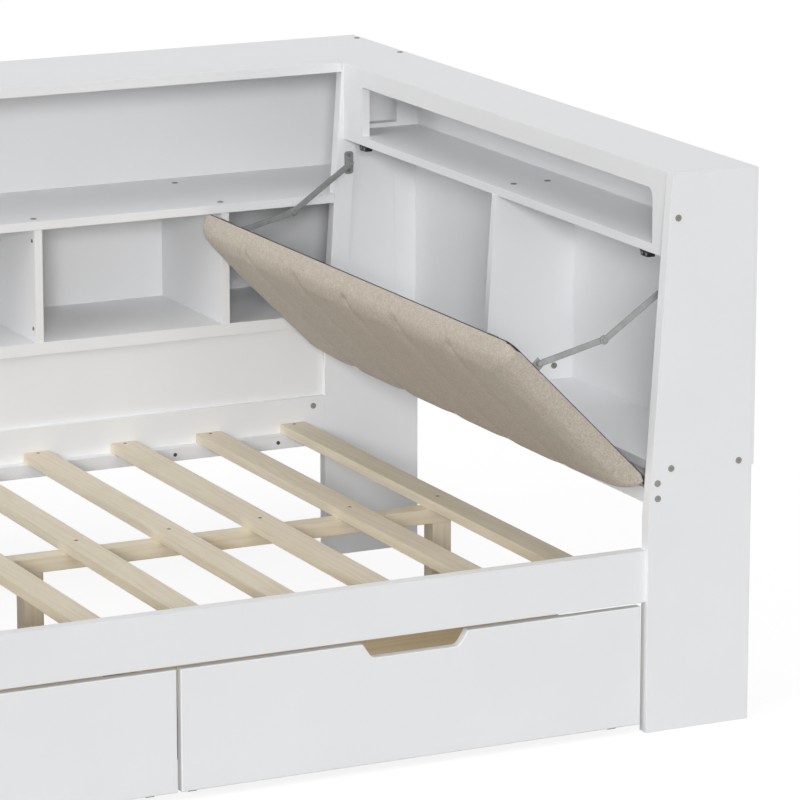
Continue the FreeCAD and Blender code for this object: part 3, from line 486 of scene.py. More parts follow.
@dataclass(frozen=True)
class BareTimber:
    """Sanded wood with no finish: growth bands, fibres and pores along the board."""

    name: str
    light: Colour
    dark: Colour
    axis: GrainAxis
    band_width: float = 19 * MM
    band_weight: float = 0.34
    fibre_weight: float = 0.30
    fibre_height: float = 0.2 * MM
    fibre_strength: float = 0.3
    cloud_weight: float = 0.36
    cloud_size: float = 160 * MM
    speck_size: float = 4 * MM
    pore_tone: float = 0.8
    pore_weight: float = 0.35
    # Lightening of the colour along the edges: a painted highlight.
    edge_highlight_tone: float = 1.05
    edge_highlight_weight: float = 0.45
    arris: float = 2.6 * MM
    roughness: float = 0.62
    rough_reach: Span = (-0.07, 0.08)
    gloss: float = 0.3

    def material(self) -> Material:
        """Build the finish.

        Returns:
            Its material.
        """
        sheet, shader, material = new_material(self.name)
        vector = body_vector(sheet)
        edge = sheet.group(EFFECTS.soft_arris(), Radius=self.arris)
        grain = sheet.group(EFFECTS.timber_grain(), Vector=along_fibres(sheet, vector, self.axis),
                            Band_Width=self.band_width)
        mottle = sheet.group(EFFECTS.surface_mottle(), Vector=vector, Cloud_Size=self.cloud_size,
                             Speck_Size=self.speck_size)
        tone = sheet.weigh((grain["Band"], self.band_weight), (grain["Fibre"], self.fibre_weight),
                           (mottle["Cloud"], self.cloud_weight))
        wood = sheet.blend(tone, self.light, self.dark)
        pored = sheet.blend(sheet.math("MULTIPLY", grain["Pore"], self.pore_weight), wood,
                            toned(self.dark, self.pore_tone))
        # The edge mask lightens the wood towards the edges: a painted highlight.
        edge_highlighted = sheet.blend(sheet.math("MULTIPLY", edge["Edge"], self.edge_highlight_weight), pored,
                             toned(self.light, self.edge_highlight_tone))
        sheet.wire(shader, Base_Color=edge_highlighted, Specular_IOR_Level=self.gloss,
                   Roughness=sheet.swing(grain["Fibre"], self.roughness, self.rough_reach),
                   Normal=sheet.bump(grain["Fibre"], self.fibre_height, self.fibre_strength, edge["Normal"]))
        return material


@dataclass(frozen=True)
class PlatedSteel:
    """Grey plated steel with a fine grain and slightly duller patches."""

    name: str
    colour: Colour
    roughness: float = 0.38
    rough_reach: Span = (-0.06, 0.10)
    metallic: float = 0.85
    arris: float = 0.5 * MM
    # Tone along the edges: above 1 a painted highlight, below 1 painted shade.
    painted_edge_tone: float = 1.18
    dull_tone: float = 0.82
    cloud_size: float = 18 * MM
    speck_size: float = 0.9 * MM
    speck_height: float = 0.04 * MM
    speck_strength: float = 0.3

    def material(self) -> Material:
        """Build the finish.

        Returns:
            Its material.
        """
        sheet, shader, material = new_material(self.name)
        edge = sheet.group(EFFECTS.soft_arris(), Radius=self.arris)
        mottle = sheet.group(EFFECTS.surface_mottle(), Vector=body_vector(sheet), Cloud_Size=self.cloud_size,
                             Speck_Size=self.speck_size)
        plate = sheet.blend(mottle["Cloud"], toned(self.colour, self.dull_tone), self.colour)
        # The edge mask tones the colour along the edges: painted highlight where the tone is above 1, painted
        # shade where it is below.
        sheet.wire(shader, Base_Color=sheet.blend(edge["Edge"], plate, toned(self.colour, self.painted_edge_tone)),
                   Roughness=sheet.swing(mottle["Speck"], self.roughness, self.rough_reach),
                   Normal=sheet.bump(mottle["Speck"], self.speck_height, self.speck_strength, edge["Normal"]),
                   Metallic=self.metallic)
        return material


@dataclass(frozen=True)
class MouldedPlastic:
    """Moulded plastic with a fine sparked texture."""

    name: str
    colour: Colour
    roughness: float = 0.5
    rough_reach: Span = (-0.06, 0.08)
    arris: float = 0.8 * MM
    cloud_tone: float = 0.85
    # Lightening of the colour along the edges: a painted highlight.
    edge_highlight_tone: float = 1.6
    edge_highlight_lift: float = 0.01
    cloud_size: float = 12 * MM
    speck_size: float = 0.5 * MM
    speck_height: float = 0.06 * MM
    speck_strength: float = 0.35

    def material(self) -> Material:
        """Build the finish.

        Returns:
            Its material.
        """
        sheet, shader, material = new_material(self.name)
        edge = sheet.group(EFFECTS.soft_arris(), Radius=self.arris)
        mottle = sheet.group(EFFECTS.surface_mottle(), Vector=body_vector(sheet), Cloud_Size=self.cloud_size,
                             Speck_Size=self.speck_size)
        # The edge mask lightens the moulding towards the edges: a painted highlight.
        edge_highlighted = tuple(self.edge_highlight_tone * part + self.edge_highlight_lift for part in self.colour)
        base = sheet.blend(mottle["Cloud"], toned(self.colour, self.cloud_tone), self.colour)
        sheet.wire(shader, Base_Color=sheet.blend(edge["Edge"], base, edge_highlighted),
                   Roughness=sheet.swing(mottle["Cloud"], self.roughness, self.rough_reach),
                   Normal=sheet.bump(mottle["Speck"], self.speck_height, self.speck_strength, edge["Normal"]))
        return material


@dataclass(frozen=True)
class Linen:
    """Slubby plain-woven greige cloth, its threads along the piece's own Y and Z."""

    name: str
    light: Colour = (0.656, 0.607, 0.541)
    dark: Colour = (0.388, 0.317, 0.241)
    pitch: float = 1.3 * MM
    slub_weight: float = 0.16
    speck_weight: float = 0.52
    cloud_weight: float = 0.16
    over_weight: float = 0.08
    cloud_size: float = 13 * MM
    speck_size: float = 3.2 * MM
    roughness: Span = (0.98, 0.86)
    thread_height: float = 0.35 * MM
    thread_strength: float = 0.45
    slub_height: float = 0.3 * MM
    slub_strength: float = 0.35
    gloss: float = 0.15
    sheen: float = 0.12
    sheen_roughness: float = 0.5

    def material(self) -> Material:
        """Build the finish.

        Returns:
            Its material.
        """
        sheet, shader, material = new_material(self.name)
        vector = body_vector(sheet)
        place = sheet.parts(vector)
        weave = sheet.group(EFFECTS.plain_weave(), Along=sheet.math("ADD", place["Y"], place["X"]),
                            Across=sheet.math("SUBTRACT", place["Z"], place["X"]), Pitch=self.pitch)
        mottle = sheet.group(EFFECTS.surface_mottle(), Vector=vector, Cloud_Size=self.cloud_size,
                             Speck_Size=self.speck_size)
        tone = sheet.weigh((weave["Slub"], self.slub_weight), (mottle["Speck"], self.speck_weight),
                           (mottle["Cloud"], self.cloud_weight), (weave["Over"], self.over_weight))
        threads = sheet.bump(weave["Height"], self.thread_height, self.thread_strength)
        sheet.wire(shader, Base_Color=sheet.blend(tone, self.light, self.dark),
                   Roughness=sheet.remap(weave["Height"], (0.0, 1.0), self.roughness),
                   Normal=sheet.bump(weave["Slub"], self.slub_height, self.slub_strength, threads),
                   Specular_IOR_Level=self.gloss, Sheen_Weight=self.sheen,
                   Sheen_Roughness=self.sheen_roughness)
        return material


@dataclass(frozen=True)
class BackingCloth:
    """Thin black dust cloth stretched over the back of the flap board."""

    name: str
    colour: Colour = (0.022, 0.022, 0.023)
    slub_tone: float = 2.0
    pitch: float = 1.0 * MM
    roughness: Span = (0.95, 0.80)
    thread_height: float = 0.2 * MM
    thread_strength: float = 0.4
    gloss: float = 0.2

    def material(self) -> Material:
        """Build the finish.

        Returns:
            Its material.
        """
        sheet, shader, material = new_material(self.name)
        place = sheet.parts(body_vector(sheet))
        weave = sheet.group(EFFECTS.plain_weave(), Along=place["Y"],
                            Across=sheet.math("SUBTRACT", place["Z"], place["X"]), Pitch=self.pitch)
        pale = toned(self.colour, self.slub_tone)
        sheet.wire(shader, Base_Color=sheet.blend(weave["Slub"], self.colour, pale),
                   Roughness=sheet.remap(weave["Height"], (0.0, 1.0), self.roughness),
                   Normal=sheet.bump(weave["Height"], self.thread_height, self.thread_strength),
                   Specular_IOR_Level=self.gloss)
        return material


class Finishes:
    """Every finish of the bed, built once."""

    pine: tuple[Colour, Colour] = ((0.800, 0.735, 0.605), (0.700, 0.612, 0.462))
    ply: tuple[Colour, Colour] = ((0.800, 0.700, 0.515), (0.685, 0.570, 0.385))
    ply_band: float = 34 * MM
    ply_arris: float = 0.8 * MM

    def __init__(self) -> None:
        """Build the materials."""
        self.white = {axis: Lacquer(f"lacquer_along_{axis.name.lower()}", axis=axis).material()
                      for axis in GrainAxis}
        self.white_skin = Lacquer("lacquer_on_hardboard", roughness=0.5, ripple=0.02,
                                  arris=0.6 * MM).material()
        self.pine_along = {axis: BareTimber(f"pine_along_{axis.name.lower()}", *self.pine, axis).material()
                           for axis in GrainAxis}
        self.ply_along = {axis: BareTimber(f"ply_along_{axis.name.lower()}", *self.ply, axis,
                                           band_width=self.ply_band, arris=self.ply_arris).material()
                          for axis in (GrainAxis.X, GrainAxis.Y)}
        # Stays and plated screw heads get darkened edges, painted shade as outlines and rims; the other
        # steels keep a painted highlight along their edges.
        self.stay_steel = PlatedSteel("stay_plate", (0.385, 0.390, 0.390), roughness=0.5, metallic=0.55,
                                      arris=1.6 * MM, painted_edge_tone=0.45).material()
        self.fork_steel = PlatedSteel("fork_plate", (0.450, 0.455, 0.460), roughness=0.32).material()
        self.screw_plate = PlatedSteel("screw_plate", (0.330, 0.325, 0.300), roughness=0.45, metallic=0.5,
                                       arris=1.6 * MM, painted_edge_tone=0.40).material()
        self.screw_black = PlatedSteel("screw_blacked", (0.090, 0.082, 0.070), roughness=0.5,
                                       metallic=0.5).material()
        self.catch_black = MouldedPlastic("catch_moulding", (0.018, 0.018, 0.019)).material()
        self.wheel_black = MouldedPlastic("wheel_moulding", (0.022, 0.022, 0.022), roughness=0.58).material()
        self.bush_nylon = MouldedPlastic("bush_nylon", (0.700, 0.700, 0.690), roughness=0.45).material()
        self.linen = Linen("greige_linen").material()
        self.backing = BackingCloth("black_backing").material()


def finish_nodes(nodes: tuple[str, ...], material: Material) -> list[str]:
    """Give CAD nodes their finish.

    Args:
        nodes: Names of the nodes.
        material: Finish that they get.

    Returns:
        The nodes' names, for the log.
    """
    for node in nodes:
        piece = frame["nodes"][node]
        piece.data.materials.clear()
        piece.data.materials.append(material)
    return list(nodes)


def add_piece(name: str, mesh: bpy.types.Mesh, *materials: Material) -> bpy.types.Object:
    """Put a mesh into the scene as a named piece.

    Args:
        name: Name of the piece.
        mesh: Its mesh.
        materials: Its finishes, in the order of its slots.

    Returns:
        The new object.
    """
    piece = bpy.data.objects.new(name, mesh)
    bpy.context.scene.collection.objects.link(piece)
    for material in materials:
        mesh.materials.append(material)
    return piece


@dataclass
class Bookcase:
    """A bookcase of lacquered boards with a thin back."""

    finishes: Finishes
    name: str
    length_axis: GrainAxis
    upright: tuple[str, ...]
    level: tuple[str, ...]
    skin: tuple[str, ...]

    def dress(self) -> list[str]:
        """Lacquer every board along its own fibres.

        Returns:
            The nodes' names.
        """
        return (finish_nodes(self.upright, self.finishes.white[GrainAxis.Z])
                + finish_nodes(self.level, self.finishes.white[self.length_axis])
                + finish_nodes(self.skin, self.finishes.white_skin))


@dataclass
class EndBookcase(Bookcase):
    """End bookcase at the bed's right: tall end panels, a slotted top and the bays behind the flap."""

    name: str = "end bookcase"
    length_axis: GrainAxis = GrainAxis.Y
    upright: tuple[str, ...] = ("front_end_panel", "corner_panel", "corner_post", "right_divider")
    level: tuple[str, ...] = ("right_top", "slot_frame", "right_shelf", "right_bottom", "bottom_rail",
                              "apron")
    skin: tuple[str, ...] = ("right_back_skin",)


@dataclass
class BackBookcase(Bookcase):
    """Long bookcase along the bed's back."""

    name: str = "back bookcase"
    length_axis: GrainAxis = GrainAxis.X
    upright: tuple[str, ...] = ("back_left_end", "corner_end_panel", "back_dividers")
    level: tuple[str, ...] = ("back_top", "back_shelf", "back_bottom", "back_lower_panel")
    skin: tuple[str, ...] = ("back_skin",)


@dataclass
class BedBase:
    """Lacquered rails, ledgers and low end, and the bare pine slats with their beam and legs."""

    finishes: Finishes
    name: str = "bed base"
    low_end: tuple[str, ...] = ("left_end_panel",)
    rails: tuple[str, ...] = ("front_rail", "back_rail", "front_ledger", "back_ledger")
    pine: tuple[tuple[str, GrainAxis], ...] = (("slats", GrainAxis.Y), ("centre_beam", GrainAxis.X),
                                               ("centre_legs", GrainAxis.Z))

    def dress(self) -> list[str]:
        """Finish every piece.

        Returns:
            The nodes' names.
        """
        dressed = finish_nodes(self.low_end, self.finishes.white[GrainAxis.Y])
        dressed += finish_nodes(self.rails, self.finishes.white[GrainAxis.X])
        for node, axis in self.pine:
            dressed += finish_nodes((node,), self.finishes.pine_along[axis])
        return dressed


@dataclass
class RollingDrawer:
    """One drawer: a lacquered front on a plywood box, with forks and wheels under it."""

    finishes: Finishes
    side: str
    rows: tuple[str, ...] = ("front", "rear")
    wheels_in_row: int = 2

    @property
    def name(self) -> str:
        """What the log calls the drawer."""
        return f"{self.side} drawer"

    def dress(self) -> list[str]:
        """Finish front, box, forks and wheels.

        Returns:
            The nodes' names.
        """
        stem = f"{self.side}_drawer"
        wheels = tuple(f"{stem}_wheel_{row}_{index + 1}"
                       for row in self.rows for index in range(self.wheels_in_row))
        return (finish_nodes((f"{stem}_front",), self.finishes.white[GrainAxis.X])
                + finish_nodes((f"{stem}_sides",), self.finishes.ply_along[GrainAxis.Y])
                + finish_nodes((f"{stem}_back", f"{stem}_floor"), self.finishes.ply_along[GrainAxis.X])
                + finish_nodes((f"{stem}_forks",), self.finishes.fork_steel)
                + finish_nodes(wheels, self.finishes.wheel_black))


@dataclass
class Fittings:
    """Stays, pivots, strike plates and screws."""

    finishes: Finishes
    name: str = "fittings"
    stays: tuple[str, ...] = ("stay_wall_brackets", "stay_flap_brackets", "front_stay_upper",
                              "front_stay_lower", "rear_stay_upper", "rear_stay_lower", "strike_plates")
    plated_heads: tuple[str, ...] = ("pivot_bolts", "frame_screws")
    blacked: tuple[str, ...] = ("pivot_ears", "base_screws")
    bushes: tuple[str, ...] = ("pivot_bushes",)

    def dress(self) -> list[str]:
        """Finish every fitting.

        Returns:
            The nodes' names.
        """
        return (finish_nodes(self.stays, self.finishes.stay_steel)
                + finish_nodes(self.plated_heads, self.finishes.screw_plate)
                + finish_nodes(self.blacked, self.finishes.screw_black)
                + finish_nodes(self.bushes, self.finishes.bush_nylon))


@dataclass
class MagnetCatches:
    """Two black catches under the shelf: a base plate, a tapered case and two steel poles."""

    finishes: Finishes
    node: str = "magnet_catches"
    length: float = 39 * MM
    plate_height: float = 2.0 * MM
    case_inset: float = 3.5 * MM
    taper: float = 3.0 * MM
    pole_half: float = 3.0 * MM
    pole_foot: float = 2.0 * MM
    pole_head: float = 1.0 * MM
    pole_pitch: float = 15.6 * MM
    pole_proud: float = 0.3 * MM
    soft_edge: float = 0.5 * MM

    def build(self) -> bpy.types.Object:
        """Model both catches as one piece.

        Returns:
            The piece.
        """
        low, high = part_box(self.node)
        form = bmesh.new()
        for start in (low.y, high.y - self.length):
            self._catch(form, Vector((low.x, start, low.z)), Vector((high.x, start + self.length, high.z)))
        mesh = bpy.data.meshes.new("magnet_catch_pair")
        form.to_mesh(mesh)
        form.free()
        piece = add_piece("magnet_catch_pair", mesh, self.finishes.catch_black, self.finishes.stay_steel)
        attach(piece, "frame")
        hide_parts(self.node)
        return piece

    def _catch(self, form: bmesh.types.BMesh, low: Vector, high: Vector) -> None:
        """Add one catch inside a box.

        Args:
            form: Mesh that it is added to.
            low: Lowest corner of the box.
            high: Highest corner of the box.
        """
        plate_low = high.z - self.plate_height
        self._block(form, Vector((low.x, low.y, plate_low)), high, 0.0, 0)
        case_low = Vector((low.x, low.y + self.case_inset, low.z))
        case_high = Vector((high.x, high.y - self.case_inset, plate_low))
        self._block(form, case_low, case_high, self.taper, 0)
        middle = (low.y + high.y) / 2
        for centre in (middle - self.pole_pitch / 2, middle + self.pole_pitch / 2):
            pole_low = Vector((low.x - self.pole_proud, centre - self.pole_half, low.z + self.pole_foot))
            pole_high = Vector((low.x + self.pole_half, centre + self.pole_half, plate_low - self.pole_head))
            self._block(form, pole_low, pole_high, 0.0, 1)

    def _block(self, form: bmesh.types.BMesh, low: Vector, high: Vector, taper: float, slot: int) -> None:
        """Add a block with softened edges, drawn in by a taper at its foot.

        Args:
            form: Mesh that it is added to.
            low: Lowest corner of the box.
            high: Highest corner of the box.
            taper: How far each end is drawn in.
            slot: Number of its finish.
        """
        made = bmesh.ops.create_cube(form, size=1.0)["verts"]
        for vert in made:
            share = vert.co + Vector((0.5, 0.5, 0.5))
            vert.co = Vector(a + (b - a) * part for a, b, part in zip(low, high, share))
            if share.z < 0.5:
                vert.co.y += taper if share.y < 0.5 else -taper
        edges = list({edge for vert in made for edge in vert.link_edges})
        cut = bmesh.ops.bevel(form, geom=edges, offset=self.soft_edge, segments=2, affect="EDGES")
        for face in {face for vert in cut["verts"] for face in vert.link_faces}:
            face.material_index = slot


@dataclass(frozen=True)
class EdgeRoll:
    """How padding rises from an edge: a share of it within a steep run, and the rest over a gentle one."""

    steep: float
    gentle: float
    share: float = 0.76

    def rise(self, distance: np.ndarray) -> np.ndarray:
        """Find the height of the padding.

        Args:
            distance: How far inside the edge each point is.

        Returns:
            The height there, as a part of the whole.
        """
        steep, gentle = (np.sqrt(1.0 - (1.0 - np.clip(distance / run, 0.0, 1.0)) ** 2)
                         for run in (self.steep, self.gentle))
        return self.share * steep + (1.0 - self.share) * gentle


@dataclass
class PaddedFlap:
    """The flap: a backed board, and a pillow with sewn channels that wraps round its edges."""

    finishes: Finishes
    board: str = "flap_board"
    cushion: str = "flap_cushion"
    channels: int = 6
    dark_edge: float = 1.4 * MM
    wrap: float = 2.6 * MM
    end_wrap: float = 5.2 * MM
    top_corner: float = 22 * MM
    low_corner: float = 5 * MM
    corner_steps: int = 8
    rim: float = 7 * MM
    loft: float = 43 * MM
    front_roll: EdgeRoll = EdgeRoll(55 * MM, 330 * MM, 0.72)
    rear_roll: EdgeRoll = EdgeRoll(22 * MM, 240 * MM)
    top_roll: EdgeRoll = EdgeRoll(38 * MM, 160 * MM)
    low_roll: EdgeRoll = EdgeRoll(26 * MM, 60 * MM)
    coarse: float = 8.0 * MM
    voxel: float = 5.0 * MM
    flat_zone: float = 3.0 * MM
    glued: float = 4 * MM
    stiffness: float = 2.0
    swell_limit: float = 1.8 * MM
    pressure: float = 4.0
    frames: int = 20
    ease_steps: int = 8
    ease_factor: float = 0.5
    seam_margin: float = 30 * MM
    stitch_run: float = 60 * MM
    valley_depth: float = 3.4 * MM
    valley_left: float = 0.70
    valley_width: float = 36 * MM
    pit_depth: float = 6.5 * MM
    pit_width: float = 15 * MM

    def dress(self) -> list[str]:
        """Back the board with dust cloth."""
        return finish_nodes((self.board,), self.finishes.backing)

    def flap_frame(self) -> Matrix:
        """Find the flap's own frame.

        Returns:
            Matrix whose X leaves the flap's back, Y runs across it and Z runs up it from the pivot.
        """
        joint = next(item for item in frame["joints"] if item["name"] == "flap_tilt")
        spots = np.array([vert.co[:] for vert in frame["nodes"][self.board].data.vertices])[:, [0, 2]]
        spread = np.linalg.svd(spots - spots.mean(axis=0), full_matrices=False)[2][0]
        along = spread if spread[1] > 0 else -spread
        tilt = math.atan2(-along[0], along[1])
        pivot = Vector((joint["pos_m"][0], 0.0, joint["pos_m"][2]))
        return Matrix.Translation(pivot) @ Matrix.Rotation(-tilt, 4, "Y")

    def build(self) -> bpy.types.Object:
        """Model the cushion, swell it and sew its channels in.

        Returns:
            The finished cushion.
        """
        place = self.flap_frame()
        inverse = place.inverted()
        spots = [inverse @ vert.co for vert in frame["nodes"][self.board].data.vertices]
        low = Vector(min(spot[axis] for spot in spots) for axis in range(3))
        high = Vector(max(spot[axis] for spot in spots) for axis in range(3))
        seams = [low.y + (high.y - low.y) * index / self.channels for index in range(1, self.channels)]
        piece = add_piece("flap_upholstery", self._slab(low, high), self.finishes.linen)
        self._remesh(piece, self.coarse)
        self._pad_out(piece, low, high)
        self._remesh(piece, self.voxel)
        self._swell(piece, low, high, seams)
        self._ease(piece)
        self._sew(piece, low, high, seams)
        self._square_rim(piece, low, high)
        for polygon in piece.data.polygons:
            polygon.use_smooth = True
        soften = piece.modifiers.new("soften", "SUBSURF")
        soften.levels = 1
        soften.render_levels = 1
        piece.matrix_world = place
        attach(piece, "flap")
        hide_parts(self.cushion)
        return piece

    def _outline(self, low: Vector, high: Vector) -> list[tuple[float, float]]:
        """Draw the cushion's outline with rounded corners.

        Args:
            low: Lowest corner of the board.
            high: Highest corner of the board.

        Returns:
            Its points in order, across and up the flap.
        """
        left, right = low.y - self.end_wrap, high.y + self.end_wrap
        foot, head = low.z - self.wrap, high.z + self.wrap
        turns = ((right, foot, self.low_corner, -90), (right, head, self.top_corner, 0),
                 (left, head, self.top_corner, 90), (left, foot, self.low_corner, 180))
        points = []
        for across, up, radius, start in turns:
            middle = (across - math.copysign(radius, across - (left + right) / 2),
                      up - math.copysign(radius, up - (foot + head) / 2))
            for step in range(self.corner_steps + 1):
                angle = math.radians(start + 90 * step / self.corner_steps)
                points.append((middle[0] + radius * math.cos(angle), middle[1] + radius * math.sin(angle)))
        return points

    def _slab(self, low: Vector, high: Vector) -> bpy.types.Mesh:
        """Make a flat slab round the board's edges, in the flap's frame.

        Args:
            low: Lowest corner of the board.
            high: Highest corner of the board.

        Returns:
            Its mesh.
        """
        form = bmesh.new()
        back = high.x - self.dark_edge
        face = form.faces.new([form.verts.new((back, across, up)) for across, up in self._outline(low, high)])
        grown = bmesh.ops.extrude_face_region(form, geom=[face])["geom"]
        shift = low.x - self.rim - back
        for vert in grown:
            if isinstance(vert, bmesh.types.BMVert):
                vert.co.x += shift
        bmesh.ops.recalc_face_normals(form, faces=form.faces)
        mesh = bpy.data.meshes.new("flap_upholstery")
        form.to_mesh(mesh)
        form.free()
        return mesh

    def _remesh(self, piece: bpy.types.Object, size: float) -> None:
        """Give the cushion an even net of small faces.

        Args:
            piece: The cushion.
            size: Length of a face.
        """
        net = piece.modifiers.new("net", "REMESH")
        net.mode = "VOXEL"
        net.voxel_size = size
        self._apply(piece)

    def _apply(self, piece: bpy.types.Object) -> None:
        """Make the piece's modifiers part of its mesh.

        Args:
            piece: The cushion.
        """
        graph = bpy.context.evaluated_depsgraph_get()
        mesh = bpy.data.meshes.new_from_object(piece.evaluated_get(graph))
        old = piece.data
        piece.modifiers.clear()
        piece.data = mesh
        bpy.data.meshes.remove(old)

    def _edge_distance(self, spots: np.ndarray, low: Vector,
                       high: Vector) -> tuple[np.ndarray, np.ndarray]:
        """Where each point lies within the cushion's rounded outline.

        Args:
            spots: Points in the flap's frame.
            low: Lowest corner of the board.
            high: Highest corner of the board.

        Returns:
            How far inside the outline each point is, and the way out of it across and up the flap.
        """
        middle = np.array([(low.y + high.y) / 2, (low.z + high.z) / 2])
        half = np.array([(high.y - low.y) / 2 + self.end_wrap, (high.z - low.z) / 2 + self.wrap])
        offset = spots[:, 1:3] - middle
        radius = np.where(offset[:, 1] > 0, self.top_corner, self.low_corner)
        over = np.abs(offset) - half + radius[:, None]
        in_corner = over.min(axis=1) > 0.0
        nearest = np.where(over == over.max(axis=1, keepdims=True), 1.0, 0.0)
        way = np.where(in_corner[:, None], np.maximum(over, 0.0), nearest)
        way /= np.linalg.norm(way, axis=1, keepdims=True)
        outside = np.linalg.norm(np.maximum(over, 0.0), axis=1)
        return radius - outside - np.minimum(over.max(axis=1), 0.0), way * np.sign(offset)

    def _pad_out(self, piece: bpy.types.Object, low: Vector, high: Vector) -> None:
        """Raise the face into a pillow that rolls over towards every edge.

        Args:
            piece: The cushion.
            low: Lowest corner of the board.
            high: Highest corner of the board.
        """
        spots = self._read(piece)
        across, up = spots[:, 1], spots[:, 2]
        reach = ((across - low.y + self.end_wrap, self.front_roll),
                 (high.y + self.end_wrap - across, self.rear_roll),
                 (up - low.z + self.wrap, self.low_roll),
                 (high.z + self.wrap - up, self.top_roll))
        height = np.full(len(spots), self.loft - self.rim)
        for distance, roll in reach:
            height *= roll.rise(distance)
        front = np.clip((low.x - spots[:, 0]) / self.rim, 0.0, 1.0)
        spots[:, 0] -= height * front
        self._write(piece, spots)

    def _read(self, piece: bpy.types.Object) -> np.ndarray:
        """Read the points of the piece's mesh.

        Args:
            piece: The cushion.

        Returns:
            The points, one in a row.
        """
        spots = np.empty(3 * len(piece.data.vertices))
        piece.data.vertices.foreach_get("co", spots)
        return spots.reshape(-1, 3)

    def _write(self, piece: bpy.types.Object, spots: np.ndarray) -> None:
        """Move the points of the piece's mesh."""
        piece.data.vertices.foreach_set("co", spots.ravel())
        piece.data.update()

    def _swell(self, piece: bpy.types.Object, low: Vector, high: Vector, seams: list[float]) -> None:
        """Blow the cushion up between its seams, and cap how far each point moves.

        Args:
            piece: The cushion.
            low: Lowest corner of the board.
            high: Highest corner of the board.
            seams: Where the seams lie across the flap.
        """
        before = self._read(piece)
        held = piece.vertex_groups.new(name="held")
        on_board = before[:, 0] > low.x - self.glued
        beside = np.min([np.abs(before[:, 1] - seam) for seam in seams], axis=0) < self.voxel
        inside = self._edge_distance(before, low, high)[0]
        stitched = (inside > self.seam_margin) & (inside < self.seam_margin + self.stitch_run)
        held.add(np.flatnonzero(on_board | (beside & stitched)).tolist(), 1.0, "REPLACE")
        cloth = piece.modifiers.new("swell", "CLOTH")
        cloth.settings.use_pressure = True
        cloth.settings.uniform_pressure_force = self.pressure
        cloth.settings.vertex_group_mass = "held"
        cloth.settings.effector_weights.gravity = 0.0
        cloth.settings.bending_stiffness = self.stiffness
        cloth.point_cache.frame_start = 1
        cloth.point_cache.frame_end = self.frames
        for step in range(1, self.frames + 1):
            bpy.context.scene.frame_set(step)
        self._apply(piece)
        bpy.context.scene.frame_set(1)
        move = self._read(piece) - before
        length = np.linalg.norm(move, axis=1, keepdims=True)
        self._write(piece, before + move * self.swell_limit / np.maximum(length, self.swell_limit))

    def _ease(self, piece: bpy.types.Object) -> None:
        """Even out creases that are sharper than padding under cloth can be.

        Args:
            piece: The cushion.
        """
        ease = piece.modifiers.new("ease", "SMOOTH")
        ease.factor = self.ease_factor
        ease.iterations = self.ease_steps
        self._apply(piece)

    def _sew(self, piece: bpy.types.Object, low: Vector, high: Vector, seams: list[float]) -> None:
        """Draw the face in along each channel, most near its ends, with a pit where a seam ends.

        Args:
            piece: The cushion.
            low: Lowest corner of the board.
            high: Highest corner of the board.
            seams: Where the seams lie across the flap.
        """
        spots = self._read(piece)
        inside = np.maximum(self._edge_distance(spots, low, high)[0], 0.0)
        front = np.clip((low.x - spots[:, 0]) / self.rim, 0.0, 1.0)
        past_pit = np.maximum(inside - self.seam_margin, 0.0) / self.stitch_run
        fade = self.valley_left + (1.0 - self.valley_left) * np.exp(-past_pit ** 2)
        valley_on = np.clip(inside / self.seam_margin, 0.0, 1.0) * fade
        at_ends = np.exp(-((inside - self.seam_margin) / self.pit_width) ** 2)
        drawn = np.zeros(len(spots))
        for seam in seams:
            away = np.abs(spots[:, 1] - seam)
            drawn += self.valley_depth * valley_on * np.exp(-(away / self.valley_width) ** 2)
            drawn += self.pit_depth * at_ends * np.exp(-(away / self.pit_width) ** 2)
        spots[:, 0] += drawn * front
        self._write(piece, spots)

    def _square_rim(self, piece: bpy.types.Object, low: Vector, high: Vector) -> None:
        """Pull the cloth taut round the board's edges, so that only a thin dark line of backing shows.

        Args:
            piece: The cushion.
            low: Lowest corner of the board.
            high: Highest corner of the board.
        """
        spots = self._read(piece)
        inside, way = self._edge_distance(spots, low, high)
        beside = (spots[:, 0] > low.x) & (inside < self.voxel)
        spots[:, 1:3] += np.where(beside[:, None], way * inside[:, None], 0.0)
        back = high.x - self.dark_edge
        spots[:, 0] = np.where(spots[:, 0] > back - self.flat_zone, back, spots[:, 0])
        self._write(piece, spots)


@dataclass(frozen=True)
class Lamp:
    """Broad distant lamp: a soft box that lights near and far alike.

    Its fields are the name, the direction that the light comes from, the light on a surface that faces it,
    and how wide it looks from the object, in degrees.
    """

    name: str
    come_from: tuple[float, float, float]
    strength: float
    spread: float
    distance: float = 8.0

    def build(self) -> bpy.types.Object:
        """Put the lamp into the scene.

        Returns:
            The lamp.
        """
        data = bpy.data.lights.new(self.name, "SUN")
        data.energy = self.strength
        data.angle = math.radians(self.spread)
        lamp = bpy.data.objects.new(self.name, data)
        bpy.context.scene.collection.objects.link(lamp)
        lamp.location = self.distance * Vector(self.come_from)
        lamp.rotation_euler = (-Vector(self.come_from)).to_track_quat("-Z", "Y").to_euler()
        return lamp


